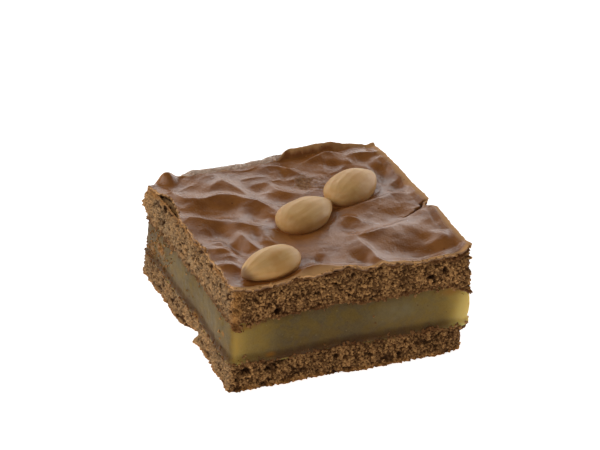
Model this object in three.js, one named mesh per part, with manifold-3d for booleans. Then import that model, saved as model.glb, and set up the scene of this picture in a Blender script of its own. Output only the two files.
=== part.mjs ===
// A square cut of filled speculaas: a thin bottom crumb layer, a layer of almond paste, and a thick top crumb
// layer whose glazed crust is drawn up in folds, with three blanched almonds set in it.
// Millimetres, +Z up. The front face looks along -Y, and the origin is under the middle of the base.
import * as THREE from "three";
import { mergeVertices } from "three/addons/utils/BufferGeometryUtils.js";
import Module from "manifold-3d";

const wasm = await Module();
wasm.setup();

// Driving dimensions
const WIDTH = 75;
const DEPTH = 71;
const CORNER_HEIGHT = { frontLeft: 34.4, frontRight: 35.0, backRight: 32.5, backLeft: 31.7 };
const PASTE_FLOOR_SHARE = 0.255; // of the height, where the bottom layer ends
const PASTE_ROOF_SHARE = 0.63; // of the height, where the top layer begins
const ROOF_SAG = { from: 29, to: 39, depth: 3.2 }; // the top layer sags over the paste's right end
const LAYER_WAVE = {
  x: { height: 0.3, length: 8, phase: 4 },
  y: { height: 0.25, length: 9, phase: -3 },
};
const LAYER_GAP = 0.36;
const SOCKET_GAP = 0.3;

// Facets: cells along X and Y, and bands up a cut side
const TOP_CELLS = { x: 57, y: 55, bands: 6 };
const PASTE_CELLS = { x: 30, y: 28, bands: 4 };
const BOTTOM_CELLS = { x: 42, y: 40, bands: 4 };
const ALMOND_CELLS = { around: 18, along: 11 };

// The crust's rims: along the back a torn ridge with a curled lip, some bumps and lower corners
const BACK_RIDGE = { height: 1.8, top: 0.6, foot: 2.4 };
// The crust rises softly towards the ridge, which stands that much lower on it
const BACK_RISE = { height: 1, from: -33, fullFrom: -22, fullTo: 29, to: 38, reach: 22 };
const LIP = { from: 4.5, fullFrom: 9.5, fullTo: 20.5, to: 34.5, height: 2.3 };
const CORNER_DROP = { left: 4.0, right: 1.0, from: 31.5, over: 7 };
const RIDGE_BUMPS = [
  { at: -31.6, halfWidth: 4.0, height: 1.4 },
  { at: -27.2, halfWidth: 4.0, height: -0.8 },
  { at: -23.0, halfWidth: 2.6, height: 0.3 },
  { at: -6.0, halfWidth: 2.5, height: -0.3 },
  { at: 4.5, halfWidth: 5.0, height: 1.0 },
  { at: 31.0, halfWidth: 8.0, height: -0.5 },
];
const RIGHT_RIM = { lift: 1.1, width: 3 };
const FRONT_RIM_WIDTH = 4.2;
const FRONT_BUMPS = [
  { at: -37.5, halfWidth: 5.0, height: 1.2 },
  { at: -27.0, halfWidth: 6.5, height: 0.4 },
  { at: -12.5, halfWidth: 6.0, height: -0.9 },
  { at: 1.0, halfWidth: 7.0, height: 1.4 },
  { at: 8.8, halfWidth: 4.0, height: 0.5 },
  { at: 16.0, halfWidth: 6.0, height: 1.1 },
  { at: 25.0, halfWidth: 11.0, height: 1.8 },
  { at: 37.5, halfWidth: 5.0, height: 0.7 },
];

// Crust folds: start, middle pull and end of each crest, its height, and the spread of its flanks
const FOLD_TIP = 0.45; // rounding of a crest
const FOLD_STEPS = 14; // straight stretches that a bowed crest is measured by
const FOLD_FADE = { ends: 0.45, middle: 0.55 };
const FLANK_WIDTH = { left: 1.2, right: 2.5 }; // seen from a fold's start
const FOLDS = [
  { from: [-33.6, 29], pull: [-32, 16.8], to: [-24, 18.4], height: 2.0, spread: 1.9 },
  { from: [-28, 17.9], pull: [-20, 19.4], to: [-14.5, 15.9], height: 2.0, spread: 1.9 },
  { from: [-16.5, 16.9], pull: [-12, 12.2], to: [-7.8, 5.4], height: 1.7, spread: 1.6 },
  { from: [-16.8, 30.2], pull: [-15.2, 25], to: [-12, 15], height: 1.4, spread: 1.4 },
  { from: [-21.5, 25], pull: [-18.5, 27.2], to: [-15.2, 27.8], height: 0.9, spread: 1.4 },
  { from: [-37, 11], pull: [-32, 4.2], to: [-24.5, 5.2], height: 1.9, spread: 1.9 },
  { from: [-24.5, 5.2], pull: [-22.5, -2.5], to: [-14, -4.8], height: 1.8, spread: 1.7 },
  { from: [-23.8, -2.8], pull: [-24, -9], to: [-21.6, -15.5], height: 1.4, spread: 1.4 },
  { from: [-32, -5.5], pull: [-31, -8], to: [-30.1, -10.5], height: 0.5, spread: 1.2 },
  { from: [-36.5, -10.8], pull: [-30, -12.8], to: [-25.4, -19.3], height: 1.5, spread: 1.5 },
  { from: [-36.8, -20], pull: [-33.5, -21.2], to: [-30.7, -23.7], height: 1.4, spread: 1.4 },
  { from: [-16.2, -3.5], pull: [-17, -9], to: [-14.5, -13], height: 0.9, spread: 1.3 },
  { from: [10.5, -0.5], pull: [20, -1.8], to: [28.7, 3.2], height: 1.5, spread: 1.5 },
  { from: [28.7, 3.2], pull: [31, 3.4], to: [34.5, 2], height: 0.9, spread: 1.4 },
  { from: [9.3, -5.2], pull: [11.5, -6.8], to: [13.6, -10], height: 1.3, spread: 1.4 },
  { from: [7.4, -17.4], pull: [14.5, -20], to: [22, -15.3], height: 1.6, spread: 1.6 },
  { from: [22, -15.3], pull: [26, -13.5], to: [30, -10.5], height: 0.8, spread: 1.6 },
  { from: [7.4, -18], pull: [8, -27], to: [9.3, -36], height: 1.5, spread: 1.5 },
  { from: [-17.6, -35.5], pull: [-12, -28.6], to: [-3.9, -34.6], height: 2.0, spread: 1.5 },
  { from: [12, 30], pull: [19, 33], to: [25.2, 30.6], height: 1.6, spread: 1.4 },
  { from: [25.2, 29], pull: [29.8, 31], to: [37.5, 28.6], height: 1.5, spread: 1.4 },
  { from: [25.5, 29], pull: [25.4, 27], to: [25.2, 25], height: 0.8, spread: 1.3 },
  { from: [32.4, 26.5], pull: [35, 26], to: [38, 24], height: 0.9, spread: 1.4 },
  { from: [0, 31], pull: [5, 30], to: [8.2, 22.5], height: 1.4, spread: 1.4 },
  { from: [-9.5, 22.5], pull: [-5.5, 24.2], to: [-3.2, 22.5], height: 0.4, spread: 1.3 },
  { from: [-3.2, 22.5], pull: [-3, 14.5], to: [3.5, 13.5], height: 1.2, spread: 1.4 },
  { from: [34.5, -8.5], pull: [34.6, -12], to: [34, -18], height: 0.7, spread: 1.2 },
];

// Dishes between the folds, or swells where the depth is negative: middle, half spans and depth
const DISHES = [
  { at: [23.5, -35], span: [14.5, 16.5], depth: 3.0 },
  { at: [33, -26.5], span: [6, 5.5], depth: -1.0 },
  { at: [-27, -37], span: [6, 4], depth: 1.0 },
  { at: [-5, -37], span: [5, 3], depth: 0.8 },
  { at: [-24, 11], span: [12.5, 7.5], depth: 1.5 },
  { at: [-29.5, -2], span: [7.5, 7], depth: 1.3 },
  { at: [-26.8, -13], span: [4.4, 12], depth: 1.8 },
  { at: [-31, -15], span: [5, 2.6], depth: 0.5 },
  { at: [-6.3, -26.5], span: [3, 4.8], depth: 0.9 },
  { at: [4.6, -33.5], span: [5, 10], depth: 1.2 },
  { at: [20.5, 27], span: [5, 3.4], depth: 0.7 },
  { at: [30.5, 27], span: [5, 6], depth: 1.0 },
  { at: [9.6, -11], span: [4.2, 5.5], depth: 0.7 },
  { at: [3.5, 26], span: [3, 5], depth: 0.6 },
  { at: [-6.5, 19.5], span: [5, 5], depth: 0.5 },
  { at: [33.5, 8], span: [4.5, 5], depth: 0.9 },
  { at: [-3.8, 12.5], span: [4.6, 5], depth: 0.6 },
  { at: [-19, -8], span: [2.2, 6], depth: 0.5 },
  { at: [-13.5, 6], span: [5, 6], depth: 0.9 },
  { at: [26, -10], span: [10, 8], depth: 1.0 },
  { at: [32.5, 17], span: [4, 8], depth: 1.3 },
  { at: [31, 36], span: [8, 12], depth: -0.5 },
];
const RIPPLE = { size: 9, height: 0.3, slice: 3.5 };
const CRUST_SINK = 0.7; // makes up for the folds, so that the crust keeps the slab's mean height

// Almonds: middle, turn in degrees, half length and half width, and how blunt end and tip differ
const ALMOND_HALF_THICKNESS = 4.3;
const ALMOND_RISE = 0.9; // of an almond's middle above the crust around it
const ALMONDS = [
  { name: "almond_front", at: [-22.9, -27.2], turn: 201, halfLength: 10.9, halfWidth: 6.1 },
  { name: "almond_middle", at: [-0.7, -1.7], turn: 29, halfLength: 11.2, halfWidth: 6.8 },
  { name: "almond_back", at: [19.6, 10.2], turn: 35, halfLength: 11.5, halfWidth: 6.9 },
];
const ALMOND_TIP = { blunt: 0.48, sharp: 0.72, shift: 0.16, from: -0.4 };
const ALMOND_MOAT = { depth: 0.5, width: 1.6 }; // the crust sinks beside an almond

// The four cut sides: where each stands, and how it wanders along its length
const SIDES = { front: 0, right: 1, back: 2, left: 3 };
const EDGE_OUT = { front: 0.2, right: 1.1, back: 0.3, left: -0.1 };
const SWAY = {
  depth: 0.5,
  phase: 1.9,
  slow: { share: 0.6, length: 11 },
  quick: { share: 0.4, length: 4.6, turn: 2.3 },
};
const RIGHT_BULGE = { out: 1.3, at: 15, halfHeight: 17 }; // the cut slants out on the right
const RIGHT_FOOT = { in: 2.2, fullTo: 6, top: 9, at: -36, halfLength: 18 }; // it stands back at the front
const BASE_OUT = { front: 1.9, right: 0.4, back: 0.4, left: 0.6 }; // how far the bottom layer flares out
const FLARE_LOSS = 0.8; // share of the flare that is gone at its top

// Side relief
const CRAG = { size: 2.6, fineSize: 1.4, fineShare: 0.35, fineAside: 50, depth: 0.8, sidesApart: 40 };
const CRUST_OVERHANG = 0.8;
const CRUST_EDGE_SHARE = 0.1; // of the top layer's height
const CRUMB_TUCK = { low: 0.3, from: 0.5 }; // the crumb stands back from the crust's edge, least at its foot
const PASTE_SIDE = { bulge: 0.6, inset: 0.62, rippleSize: 5, rippleHeight: 0.2, slice: 7 };
const NOTCH = { y: -6.5, halfWidth: 1.4, depth: 1.8, from: 0.6 }; // in the crust's right edge
// Crumb lost from the bottom layer, or gained: it is full up to one height and gone at another
const LOST_CRUMB = [
  { side: "left", along: -4, halfWidth: 8, depth: 3.0, fullTo: 0, top: 6 },
  { side: "left", along: -37, halfWidth: 5, depth: -1.2, fullTo: 0, top: 5 },
  { side: "front", along: 38, halfWidth: 6, depth: 1.2, fullTo: 3, top: 8 },
  { side: "back", along: 12, halfWidth: 7, depth: 1.6, fullTo: 0, top: 5 },
];

const WELD = 1e-4; // points closer than this are one
const POLE = 1e-6; // lengths below this count as none

const COLOUR = {
  crust: { color: 0x7a4c30, roughness: 0.4, metalness: 0 },
  crumb: { color: 0x7b5836, roughness: 0.95, metalness: 0 },
  paste: { color: 0x9c8a4c, roughness: 0.6, metalness: 0 },
  almond: { color: 0xbd9558, roughness: 0.45, metalness: 0 },
};

const lerp = THREE.MathUtils.lerp;
const smoothstep = THREE.MathUtils.smoothstep;

// A hump that is 1 at its middle and 0 from span outwards
function hump(distance, span) {
  const reach = Math.min(1, Math.abs(distance) / span);
  return (1 - reach * reach) ** 2;
}

// A number from 0 to 1 that is fixed for each cell of a lattice
function latticeValue(i, j, k) {
  const wave = Math.sin(i * 127.1 + j * 311.7 + k * 74.7) * 43758.5453;
  return wave - Math.floor(wave);
}

// Smooth noise from -1 to 1 in space
function noise(x, y, z) {
  const cell = [x, y, z].map(Math.floor);
  const ease = [x, y, z].map((value, axis) => smoothstep(value - cell[axis], 0, 1));
  const corner = (a, b, c) => latticeValue(cell[0] + a, cell[1] + b, cell[2] + c);
  const edge = (b, c) => lerp(corner(0, b, c), corner(1, b, c), ease[0]);
  const face = (c) => lerp(edge(0, c), edge(1, c), ease[1]);
  return lerp(face(0), face(1), ease[2]) * 2 - 1;
}

// The slab's height at a place, before rims and folds
function slabHeight(x, y) {
  const across = x / WIDTH + 0.5;
  const back = y / DEPTH + 0.5;
  const front = lerp(CORNER_HEIGHT.frontLeft, CORNER_HEIGHT.frontRight, across);
  const rear = lerp(CORNER_HEIGHT.backLeft, CORNER_HEIGHT.backRight, across);
  return lerp(front, rear, back);
}

// A layer boundary at a share of the height, with a slow wave
function layerHeight(share, x, y) {
  const { x: wide, y: deep } = LAYER_WAVE;
  return slabHeight(x, y) * share
    + wide.height * Math.sin(x / wide.length + wide.phase * share)
    + deep.height * Math.cos(y / deep.length + deep.phase * share);
}

// Distance from a place to a bowed crest, how far along it that is, and how much on its right, from 0 to 1
function nearCrest(fold, x, y) {
  const nearest = { distance: Infinity, along: 0, right: 0 };
  for (let step = 0; step < FOLD_STEPS; step++) {
    const start = fold.points[step];
    const stretch = fold.points[step + 1].clone().sub(start);
    const offset = new THREE.Vector2(x, y).sub(start);
    const share = THREE.MathUtils.clamp(offset.dot(stretch) / stretch.lengthSq(), 0, 1);
    const leftBy = stretch.cross(offset) / stretch.length();
    const distance = offset.sub(stretch.multiplyScalar(share)).length();
    if (distance < nearest.distance) {
      nearest.distance = distance;
      nearest.along = (step + share) / FOLD_STEPS;
      nearest.right = THREE.MathUtils.clamp(0.5 - (0.5 * leftBy) / Math.max(distance, POLE), 0, 1);
    }
  }
  return nearest;
}

const CRESTS = FOLDS.map((fold) => {
  const [from, pull, to] = [fold.from, fold.pull, fold.to].map((point) => new THREE.Vector2(...point));
  return { ...fold, points: new THREE.QuadraticBezierCurve(from, pull, to).getPoints(FOLD_STEPS) };
});

// Height of one fold: a rounded crest with hollow flanks that dies out at both ends
function foldHeight(fold, x, y) {
  const { distance, along, right } = nearCrest(fold, x, y);
  const rounded = Math.hypot(distance, FOLD_TIP) - FOLD_TIP;
  const flank = lerp(FLANK_WIDTH.left, FLANK_WIDTH.right, right);
  const fade = FOLD_FADE.ends + FOLD_FADE.middle * Math.sin(Math.PI * along);
  return fold.height * fade * Math.exp(-rounded / (fold.spread * flank));
}

// Folds that meet share one crest, so the highest counts most
function foldsHeight(x, y) {
  const heights = CRESTS.map((fold) => foldHeight(fold, x, y));
  return Math.hypot(...heights);
}

function dishDepth(dish, x, y) {
  const reach = Math.hypot((x - dish.at[0]) / dish.span[0], (y - dish.at[1]) / dish.span[1]);
  return dish.depth * hump(reach, 1);
}

// How far a cut side wanders outwards along its length
function sway(side, along) {
  const phase = SIDES[side] * SWAY.phase;
  const slow = SWAY.slow.share * Math.sin(along / SWAY.slow.length + phase);
  const quick = SWAY.quick.share * Math.sin(along / SWAY.quick.length + SWAY.quick.turn * phase);
  return EDGE_OUT[side] + SWAY.depth * (slow + quick);
}

function bumpsHeight(bumps, x) {
  return bumps.reduce((sum, bump) => sum + bump.height * hump(x - bump.at, bump.halfWidth), 0);
}

// Height of the back ridge above the slab
function ridgeHeight(x) {
  const lip = smoothstep(x, LIP.from, LIP.fullFrom) - smoothstep(x, LIP.fullTo, LIP.to);
  const drop = (away) => smoothstep(away, CORNER_DROP.from, CORNER_DROP.from + CORNER_DROP.over);
  const corners = CORNER_DROP.left * drop(-x) + CORNER_DROP.right * drop(x);
  return BACK_RIDGE.height + LIP.height * lip + bumpsHeight(RIDGE_BUMPS, x) - corners;
}

function rimHeight(x, y) {
  const fromBack = DEPTH / 2 + sway("back", x) - y;
  const fromFront = DEPTH / 2 + y;
  const fromRight = WIDTH / 2 - x;
  const starts = smoothstep(x, BACK_RISE.from, BACK_RISE.fullFrom);
  const rise = BACK_RISE.height * (starts - smoothstep(x, BACK_RISE.fullTo, BACK_RISE.to));
  return (ridgeHeight(x) - rise) * (1 - smoothstep(fromBack, BACK_RIDGE.top, BACK_RIDGE.foot))
    + rise * hump(Math.max(0, fromBack), BACK_RISE.reach)
    + RIGHT_RIM.lift * (1 - smoothstep(fromRight, 0, RIGHT_RIM.width))
    + bumpsHeight(FRONT_BUMPS, x) * (1 - smoothstep(fromFront, 0, FRONT_RIM_WIDTH));
}

// An almond's own frame: how far along and across it a place lies
function inAlmond(almond, x, y) {
  const turn = THREE.MathUtils.degToRad(almond.turn);
  const dx = x - almond.at[0];
  const dy = y - almond.at[1];
  return {
    along: dx * Math.cos(turn) + dy * Math.sin(turn),
    across: dy * Math.cos(turn) - dx * Math.sin(turn),
  };
}

function moatDepth(almond, x, y) {
  const { along, across } = inAlmond(almond, x, y);
  const reach = Math.hypot(along / almond.halfLength, across / almond.halfWidth) - 1;
  return ALMOND_MOAT.depth * Math.exp(-Math.max(0, reach * almond.halfWidth) / ALMOND_MOAT.width);
}

function crustHeight(x, y) {
  const ripple = RIPPLE.height * noise(x / RIPPLE.size, y / RIPPLE.size, RIPPLE.slice);
  const sunk = DISHES.reduce((sum, dish) => sum + dishDepth(dish, x, y), CRUST_SINK);
  const moats = ALMONDS.reduce((sum, almond) => sum + moatDepth(almond, x, y), 0);
  return slabHeight(x, y) + rimHeight(x, y) + foldsHeight(x, y) - sunk - moats + ripple;
}

// Outward shift of a cut side at a height, the same for all layers
function sideShift(side, along, z) {
  if (side !== "right") return sway(side, along);
  const bulge = RIGHT_BULGE.out * hump(z - RIGHT_BULGE.at, RIGHT_BULGE.halfHeight);
  const nearCorner = hump(along - RIGHT_FOOT.at, RIGHT_FOOT.halfLength);
  const foot = RIGHT_FOOT.in * nearCorner * (1 - smoothstep(z, RIGHT_FOOT.fullTo, RIGHT_FOOT.top));
  return sway(side, along) + bulge - foot;
}

// Rough crumb on a side: lumps of two sizes
function crag(side, along, z) {
  const across = SIDES[side] * CRAG.sidesApart;
  const [x, y] = side === "left" || side === "right" ? [across, along] : [along, across];
  const coarse = noise(x / CRAG.size, y / CRAG.size, z / CRAG.size);
  const fine = noise((x + CRAG.fineAside) / CRAG.fineSize, y / CRAG.fineSize, z / CRAG.fineSize);
  return CRAG.depth * lerp(coarse, fine, CRAG.fineShare);
}

function lostCrumb(side, along, z) {
  return LOST_CRUMB.filter((bite) => bite.side === side).reduce((sum, bite) => {
    const deep = hump(along - bite.along, bite.halfWidth) * (1 - smoothstep(z, bite.fullTo, bite.top));
    return sum + bite.depth * deep;
  }, 0);
}

// A slab whose outline follows the four cut sides. cap(x, y) gives the top's height, floor(x, y) the
// underside's. relief(side, along, z, share) moves a side's point outwards, share being 0 at the floor and 1
// at the cap.
// lastBand is the share that the uppermost band takes, and a gridded top follows cap all over.
function slab({ cells, cap, floor, relief, lastBand = 1 / cells.bands, gridded = false }) {
  const positions = [];
  const triangles = [];
  const vertex = (x, y, z) => positions.push(x, y, z) / 3 - 1;

  // Where a cell corner lies at a height, and which sides it belongs to
  const place = (i, j, z, share) => {
    const u = i / cells.x;
    const v = j / cells.y;
    const x = (u - 0.5) * WIDTH;
    const y = (v - 0.5) * DEPTH;
    const on = { left: i === 0, right: i === cells.x, front: j === 0, back: j === cells.y };
    const out = (side, along) => sideShift(side, along, z) + (on[side] ? relief(side, along, z, share) : 0);
    return [
      x - (1 - u) * out("left", y) + u * out("right", y),
      y - (1 - v) * out("front", x) + v * out("back", x),
    ];
  };

  // The rim's cell corners, counter-clockwise from the front left
  const rim = [];
  for (let i = 0; i < cells.x; i++) rim.push([i, 0]);
  for (let j = 0; j < cells.y; j++) rim.push([cells.x, j]);
  for (let i = cells.x; i > 0; i--) rim.push([i, cells.y]);
  for (let j = cells.y; j > 0; j--) rim.push([0, j]);

  // Bands of the cut sides, from the floor up
  const rings = [];
  for (let band = 0; band <= cells.bands; band++) {
    const share = band < cells.bands ? (band / (cells.bands - 1)) * (1 - lastBand) : 1;
    rings.push(rim.map(([i, j]) => {
      const [x, y] = place(i, j, cap(0, 0), share);
      const z = lerp(floor(x, y), cap(x, y), share);
      return vertex(...place(i, j, z, share), z);
    }));
  }
  for (let band = 0; band < cells.bands; band++) {
    rim.forEach((_, column) => {
      const next = (column + 1) % rim.length;
      const [low, high] = [rings[band], rings[band + 1]];
      triangles.push(low[column], low[next], high[next], low[column], high[next], high[column]);
    });
  }

  // The underside, and a plain top, are fans from the middle
  const fan = (ring, z, up) => {
    const middle = vertex(0, 0, z);
    ring.forEach((start, column) => {
      const end = ring[(column + 1) % ring.length];
      triangles.push(middle, ...(up ? [start, end] : [end, start]));
    });
  };
  fan(rings[0], floor(0, 0), false);
  if (!gridded) {
    fan(rings[cells.bands], cap(0, 0), true);
  } else {
    const top = new Map(rim.map(([i, j], column) => [`${i},${j}`, rings[cells.bands][column]]));
    for (let i = 1; i < cells.x; i++) {
      for (let j = 1; j < cells.y; j++) {
        const [x, y] = place(i, j, cap(0, 0), 1);
        top.set(`${i},${j}`, vertex(x, y, cap(x, y)));
      }
    }
    for (let i = 0; i < cells.x; i++) {
      for (let j = 0; j < cells.y; j++) {
        const corners = [[i, j], [i + 1, j], [i + 1, j + 1], [i, j + 1]];
        const [a, b, c, d] = corners.map((key) => top.get(key.join()));
        triangles.push(...((i + j) % 2 ? [a, b, c, a, c, d] : [a, b, d, b, c, d]));
      }
    }
  }
  const geometry = new THREE.BufferGeometry();
  geometry.setAttribute("position", new THREE.Float32BufferAttribute(positions, 3));
  geometry.setIndex(triangles);
  return geometry;
}

// An almond lying on its flat side, as a sphere drawn out to a tip at +X, grown by a margin
function almondShape(almond, margin) {
  const shape = new THREE.SphereGeometry(1, ALMOND_CELLS.around, ALMOND_CELLS.along).rotateZ(-Math.PI / 2);
  const points = shape.getAttribute("position");
  const point = new THREE.Vector3();
  for (let index = 0; index < points.count; index++) {
    point.fromBufferAttribute(points, index);
    const along = THREE.MathUtils.clamp(point.x, -1, 1);
    const girth = Math.hypot(point.y, point.z);
    const power = lerp(ALMOND_TIP.blunt, ALMOND_TIP.sharp, smoothstep(along, ALMOND_TIP.from, 1));
    const swelling = (1 - along * along) ** power * (1 - ALMOND_TIP.shift * along);
    const fullness = girth > POLE ? swelling / girth : 0;
    points.setXYZ(
      index,
      along * (almond.halfLength + margin),
      point.y * fullness * (almond.halfWidth + margin),
      point.z * fullness * (ALMOND_HALF_THICKNESS + margin),
    );
  }
  return shape;
}

// Puts a shape where its almond lies
function layAlmond(shape, almond) {
  const [x, y] = almond.at;
  return shape
    .rotateZ(THREE.MathUtils.degToRad(almond.turn))
    .translate(x, y, slabHeight(x, y) + ALMOND_RISE);
}

// A closed solid from a geometry, and a geometry from a solid
function solidOf(geometry) {
  const bare = geometry.clone();
  bare.deleteAttribute("normal");
  bare.deleteAttribute("uv");
  const merged = mergeVertices(bare, WELD);
  return new wasm.Manifold(new wasm.Mesh({
    numProp: 3,
    vertProperties: new Float32Array(merged.getAttribute("position").array),
    triVerts: new Uint32Array(merged.getIndex().array),
  }));
}

function geometryOf(solid) {
  const { vertProperties, triVerts } = solid.getMesh();
  const geometry = new THREE.BufferGeometry();
  geometry.setAttribute("position", new THREE.BufferAttribute(vertProperties, 3));
  geometry.setIndex(new THREE.BufferAttribute(triVerts, 1));
  return geometry;
}

// Side relief of each layer
function topRelief(side, along, z, share) {
  const tuck = lerp(CRUMB_TUCK.low, 1, smoothstep(share, CRUMB_TUCK.from, 1 - CRUST_EDGE_SHARE));
  const inset = share < 1 ? CRUST_OVERHANG * tuck : 0;
  const beside = side === "right" ? hump(along - NOTCH.y, NOTCH.halfWidth) : 0;
  const notch = NOTCH.depth * beside * smoothstep(share, NOTCH.from, 1);
  return crag(side, along, z) - inset - notch;
}

function pasteRelief(side, along, z, share) {
  const { bulge, inset, rippleSize, rippleHeight, slice } = PASTE_SIDE;
  const ripple = rippleHeight * noise(along / rippleSize, z / rippleSize, SIDES[side] * slice);
  return bulge * Math.sin(Math.PI * share) - inset + ripple;
}

function bottomRelief(side, along, z, share) {
  const flare = BASE_OUT[side] * (1 - FLARE_LOSS * share);
  return crag(side, along, z) + flare - lostCrumb(side, along, z);
}

function mesh(name, geometry, colour) {
  const made = new THREE.Mesh(geometry, new THREE.MeshStandardMaterial(colour));
  made.name = name;
  return made;
}

const roofSag = (x) => ROOF_SAG.depth * smoothstep(x, ROOF_SAG.from, ROOF_SAG.to);
const roof = (x, y) => layerHeight(PASTE_ROOF_SHARE, x, y) - roofSag(x);
const floor = (x, y) => layerHeight(PASTE_FLOOR_SHARE, x, y);

const bottomLayer = slab({
  cells: BOTTOM_CELLS,
  cap: (x, y) => floor(x, y) - LAYER_GAP / 2,
  floor: () => 0,
  relief: bottomRelief,
});
const paste = slab({
  cells: PASTE_CELLS,
  cap: (x, y) => roof(x, y) - LAYER_GAP / 2,
  floor: (x, y) => floor(x, y) + LAYER_GAP / 2,
  relief: pasteRelief,
});
const uncutTop = slab({
  cells: TOP_CELLS,
  cap: crustHeight,
  floor: (x, y) => roof(x, y) + LAYER_GAP / 2,
  relief: topRelief,
  lastBand: CRUST_EDGE_SHARE,
  gridded: true,
});
const topLayer = ALMONDS.reduce(
  (solid, almond) => solid.subtract(solidOf(layAlmond(almondShape(almond, SOCKET_GAP), almond))),
  solidOf(uncutTop),
);

const speculaas = new THREE.Group();
speculaas.add(mesh("bottom_layer", bottomLayer, COLOUR.crumb));
speculaas.add(mesh("almond_paste", paste, COLOUR.paste));
speculaas.add(mesh("top_layer", geometryOf(topLayer), COLOUR.crust));
for (const almond of ALMONDS) {
  speculaas.add(mesh(almond.name, layAlmond(almondShape(almond, 0), almond), COLOUR.almond));
}

// The origin goes under the middle of the whole piece
const bounds = new THREE.Box3().setFromObject(speculaas);
const middle = bounds.getCenter(new THREE.Vector3());
speculaas.position.set(-middle.x, -middle.y, -bounds.min.z);

export default speculaas;
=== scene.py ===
# A square cut of filled speculaas, dressed for rendering: crumb, almond paste, a glazed crust and almonds
# Shapes are worked out in millimetres from the solids' own sizes, then put in metres into their frame
import math

import bpy
import numpy as np
from mathutils import Matrix, Vector


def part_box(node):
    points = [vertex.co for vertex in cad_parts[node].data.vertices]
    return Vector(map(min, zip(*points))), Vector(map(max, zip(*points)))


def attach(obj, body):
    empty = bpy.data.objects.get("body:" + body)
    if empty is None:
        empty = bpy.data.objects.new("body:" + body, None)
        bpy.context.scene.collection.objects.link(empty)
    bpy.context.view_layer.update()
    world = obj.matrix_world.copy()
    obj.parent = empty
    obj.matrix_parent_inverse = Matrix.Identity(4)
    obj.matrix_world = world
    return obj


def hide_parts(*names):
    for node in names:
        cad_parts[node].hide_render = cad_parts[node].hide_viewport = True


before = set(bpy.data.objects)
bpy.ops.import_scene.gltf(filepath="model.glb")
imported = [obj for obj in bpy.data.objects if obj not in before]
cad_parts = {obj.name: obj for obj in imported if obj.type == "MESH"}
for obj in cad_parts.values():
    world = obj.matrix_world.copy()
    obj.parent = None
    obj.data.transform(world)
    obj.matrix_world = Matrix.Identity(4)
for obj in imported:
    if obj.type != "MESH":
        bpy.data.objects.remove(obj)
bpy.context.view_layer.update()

MM = 0.001

# The slab and its layers
WIDTH = 75.0
DEPTH = 71.0
CORNER_HEIGHT = {"front_left": 34.4, "front_right": 35.0, "back_right": 32.5, "back_left": 31.7}
PASTE_FLOOR_SHARE = 0.255
PASTE_ROOF_SHARE = 0.63
# Where the top crumb sags over the right end of the paste
ROOF_SAG = {"from": 29.0, "to": 39.0, "depth": 3.2}

# The crust's rims: along the back a torn ridge with a curled lip, some bumps and lower corners
BACK_RIDGE = {"height": 1.8, "top": 0.4, "foot": 1.7}
# The crust rises softly towards the ridge, which stands that much lower on it
BACK_RISE = {
    "height": 1.0,
    "from": -33.0,
    "full_from": -22.0,
    "full_to": 29.0,
    "to": 38.0,
    "reach": 22.0,
}
# The peak near the back left corner slopes further down to the front
PEAK = {"at": -31.3, "half_width": 5.5, "foot_out": 4.5}
# Left of the lip the ridge is a low step in the crust, with a bare torn strip of crumb standing on it
# The strip has a share of the ridge's height, and goes on a little behind the crust at both ends
BARE_STRIP = {
    "from": -27.0,
    "to": 1.5,
    "starts_over": 3.0,
    "ends_over": 6.5,
    "behind": 1.5,
    "width": 1.3,
    "share": 0.8,
    "top": 0.2,
    "reach": 2.0,
    "rise": 0.7,
}
# How far from the back the step begins and ends
STEP = {"top": 1.8, "foot": 4.0}
# The curled lip: where it begins, stands full and dies out, and how much it adds to the ridge
LIP = {"from": 4.5, "full_from": 9.5, "full_to": 20.5, "to": 34.5, "height": 2.3}
CORNER_DROP = {"left": 4.0, "right": 1.0, "from": 31.5, "over": 7.0}
# Bumps along the ridge: place, half width and height
RIDGE_BUMPS = [
    (-31.6, 4.0, 1.4),
    (-27.2, 4.0, -0.8),
    (-23.0, 2.6, 0.3),
    (-6.0, 2.5, -0.3),
    (4.5, 5.0, 1.0),
    (31.0, 8.0, -0.5),
]
RIGHT_RIM = {"lift": 1.1, "width": 3.0}
FRONT_RIM_WIDTH = 4.2
# Rises and dips along the front rim: place, half width and height
FRONT_BUMPS = [
    (-37.5, 5.0, 1.2),
    (-27.0, 6.5, 0.4),
    (-12.5, 6.0, -0.9),
    (1.0, 7.0, 1.4),
    (8.8, 4.0, 0.5),
    (16.0, 6.0, 1.1),
    (25.0, 11.0, 1.8),
    (37.5, 5.0, 0.7),
]

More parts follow.
